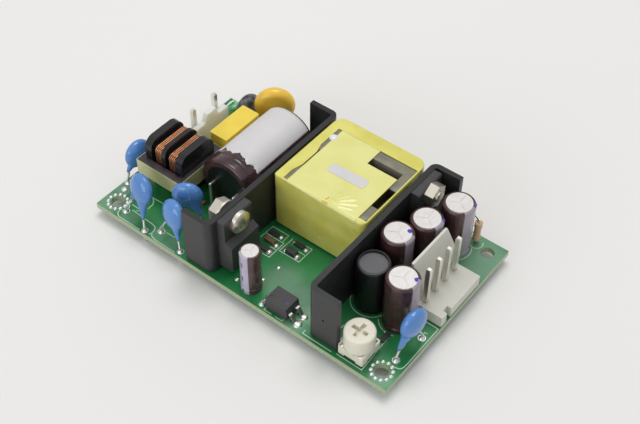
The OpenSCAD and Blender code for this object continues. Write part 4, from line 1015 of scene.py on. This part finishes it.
def make_tuck():
    """Small fold where the sheet is pinched at the near edge."""
    low, high = box_mm("transformer_tape")
    bm = bmesh.new()
    corners = [bm.verts.new(spot(x, low.y + y, high.z + z)) for x, y, z in TUCK]
    bm.faces.new((corners[0], corners[1], corners[2], corners[4]))
    bm.faces.new((corners[4], corners[2], corners[3]))
    new_piece("sheet_tuck", mesh_from(bm, "sheet_tuck"), "yellow_tape",
              material=MATERIALS["orange_fold"], smooth=False)


# ---------------------------------------------------------------- bulk capacitor label
LABEL_GAP = 0.07
LABEL_ANGLES = (38.0, 195.0)        # round the can from +X
LABEL_STEPS, LABEL_ROWS = 64, 30


def make_label():
    """Paper label round the can, torn unevenly where the shrunk sleeve starts."""
    low, high = box_mm("bulk_capacitor")
    axis_x, axis_z = (low.x + high.x) / 2, (low.z + high.z) / 2
    radius = (high.x - low.x) / 2 + LABEL_GAP
    far = high.y - 0.75
    start, end = LABEL_ANGLES
    bm = bmesh.new()
    columns = []
    for i in range(LABEL_STEPS + 1):
        a = math.radians(start + (end - start) * i / LABEL_STEPS)
        tear = (0.45 * math.sin(i * 0.42) + 0.28 * math.sin(i * 0.95 + 1.0)
                + 0.16 * math.sin(i * 2.3))
        edge = low.y + 4.5 + (tear if i > 2 else 0.0)
        column = []
        for k in range(LABEL_ROWS + 1):
            lift = 0.18 * max(0.0, 1 - k / 2.5) * (0.5 + 0.5 * math.sin(i * 0.8))
            r = radius + lift
            column.append(bm.verts.new(spot(axis_x + r * math.cos(a),
                                            edge + (far - edge) * k / LABEL_ROWS,
                                            axis_z + r * math.sin(a))))
        columns.append(column)
    bridge(bm, columns, closed=False)
    piece = new_piece("torn_label", mesh_from(bm, "torn_label"), "paper_label")
    thicken(piece, 0.07)
    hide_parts("bulk_capacitor_label")


# ---------------------------------------------------------------- legs of the devices
DEVICES = [(40.7, 8.2), (69.9, 43.1)]       # middle legs of the transistor and rectifier
OPTO = (57.31, 3.2)
LEG_PITCH = 2.54
# One optocoupler leg from the side: X from the body's middle, and Z
OPTO_LEG = [(3.2, 2.25), (3.75, 2.25), (4.1, 1.95), (4.95, 0.5), (5.05, 0.3), (5.05, -1.6),
            (4.8, -1.6), (4.8, 0.28), (4.72, 0.42), (3.9, 1.8), (3.68, 2.0), (3.2, 2.0)]


def make_legs():
    """Legs of the three devices; the optocoupler's spread to wider pads."""
    bm = bmesh.new()
    for x, y in DEVICES:
        for k in (-1, 0, 1):
            leg_y = y + LEG_PITCH * k
            slab(bm, x - 0.25, x + 0.25, leg_y - 0.375, leg_y + 0.375, -1.6, 1.5)
    cx, cy = OPTO
    for side in (-1, 1):
        for y in (cy - LEG_PITCH / 2, cy + LEG_PITCH / 2):
            prism(bm, [(cx + side * x, z) for x, z in OPTO_LEG], y - 0.5, y + 0.5)
    legs = new_piece("device_legs", mesh_from(bm, "device_legs"), "tinned_wire", smooth=False)
    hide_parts("semiconductor_legs")


# ---------------------------------------------------------------- top of the transformer
STEP = (53.2, 62.7, 38.6, 41.75)    # X from and to, Y from and to
STEP_FLOOR = 14.6
NOTCH = (29.0, 36.0)                # Y from and to, in the frame's legs
STICKER_AT = (53.0, 33.1)
STICKER_TURN = 1.5
STICKER_L, STICKER_W, STICKER_R = 10.4, 3.0, 0.55


def make_core():
    """Ferrite frame with a step in front of its far bar."""
    top = box_mm("transformer_core")[1].z
    x0, x1, y0, y1 = STEP
    bm = bmesh.new()
    slab(bm, x0, x1, y0, y1, STEP_FLOOR, top + 1)
    cutter = scratch(mesh_from(bm, "cutter"))
    core = scratch(frame["nodes"]["transformer_core"].data.copy())
    cut = core.modifiers.new("step", "BOOLEAN")
    cut.operation = "DIFFERENCE"
    cut.solver = "EXACT"
    cut.object = cutter
    bevel(core, 0.14)
    mesh = applied(core)
    bpy.data.objects.remove(cutter)
    piece = new_piece("ferrite_frame", mesh, "ferrite")
    split_edges(piece)
    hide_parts("transformer_core")


def make_step_shade():
    """Painted shade: dark olive faces laid on the step's floor and inside the right leg's
    notch.
    """
    high = box_mm("transformer_core")[1]
    right, top = high.x, high.z
    x0, x1, y0, y1 = STEP
    bm = bmesh.new()
    slab(bm, x0 + 0.05, x1 - 0.05, y0 + 0.05, y1 - 0.05, STEP_FLOOR + 0.02, STEP_FLOOR + 0.1)
    near, far = NOTCH
    slab(bm, right - 2.15, right - 0.05, near + 0.05, far - 0.05, top - 2.98, top - 2.9)
    slab(bm, right - 2.25, right - 2.1, near + 0.05, far - 0.05, top - 2.95, top - 0.2)
    slab(bm, right - 2.15, right - 0.1, near + 0.02, near + 0.1, top - 2.9, top - 0.2)
    slab(bm, right - 2.15, right - 0.1, far - 0.1, far - 0.02, top - 2.9, top - 0.2)
    new_piece("step_painted_shade", mesh_from(bm, "step_painted_shade"), "ferrite",
              material=MATERIALS["painted_shade_olive"], smooth=False)


def make_sticker():
    """Bare pale sticker on top of the transformer."""
    top = box_mm("transformer_label")[1].z
    cx, cy = STICKER_AT
    turn = math.radians(STICKER_TURN)
    inner_x, inner_y = STICKER_L / 2 - STICKER_R, STICKER_W / 2 - STICKER_R
    rim = []
    for side_x, side_y, start in ((1, 1, 0), (-1, 1, 90), (-1, -1, 180), (1, -1, 270)):
        for x, y in arc(side_x * inner_x, side_y * inner_y, STICKER_R, start, start + 90, 4):
            rim.append((cx + x * math.cos(turn) - y * math.sin(turn),
                        cy + x * math.sin(turn) + y * math.cos(turn)))
    bm = bmesh.new()
    loops = [[bm.verts.new(spot(x, y, z)) for x, y in rim] for z in (top - 0.05, top + 0.09)]
    bm.faces.new(loops[1])
    bridge(bm, loops)
    piece = new_piece("bare_sticker", mesh_from(bm, "bare_sticker"), "paper_label",
                      smooth=False)
    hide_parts("transformer_label")


def make_glue():
    """Blob of set glue beside the sheet."""
    low, high = box_mm("transformer_glue")
    centre = (low + high) / 2
    bm = bmesh.new()
    dome(bm, centre.x + 0.1, centre.y, low.z - 0.05, 1.15, high.z - low.z, 20, 7, 0.8)
    glue = new_piece("glue_blob", mesh_from(bm, "glue_blob"), "white_glue")
    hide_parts("transformer_glue")


def make_marks():
    """Ink dot on the optocoupler and dabs of ink on two sleeves."""
    high = box_mm("optocoupler")[1]
    bm = bmesh.new()
    dome(bm, high.x - 1.5, high.y - 2.5, high.z, 0.62, 0.03, 14, 3)
    new_piece("opto_ink_dot", mesh_from(bm, "opto_ink_dot"), "package_black",
              material=MATERIALS["marking_ink"])
    bm = bmesh.new()
    towards = math.radians(30)
    for can in ("output_capacitor_3", "output_capacitor_4"):
        low, high = box_mm(can)
        out = (high.x - low.x) / 2 - 0.42
        dome(bm, (low.x + high.x) / 2 + out * math.cos(towards),
             (low.y + high.y) / 2 + out * math.sin(towards), high.z - 0.16, 0.5, 0.2, 12, 4)
    new_piece("sleeve_ink", mesh_from(bm, "sleeve_ink"), "can_sleeve",
              material=MATERIALS["blue_ink"])


dress_nodes()
make_discs()
make_print()
make_solder()
make_tape()
make_sheet()
make_tuck()
make_label()
make_legs()
make_core()
make_step_shade()
make_sticker()
make_glue()
make_marks()
make_camera()
make_world()
make_lights()
make_floor()

bpy.context.scene.view_settings.view_transform = "Standard"
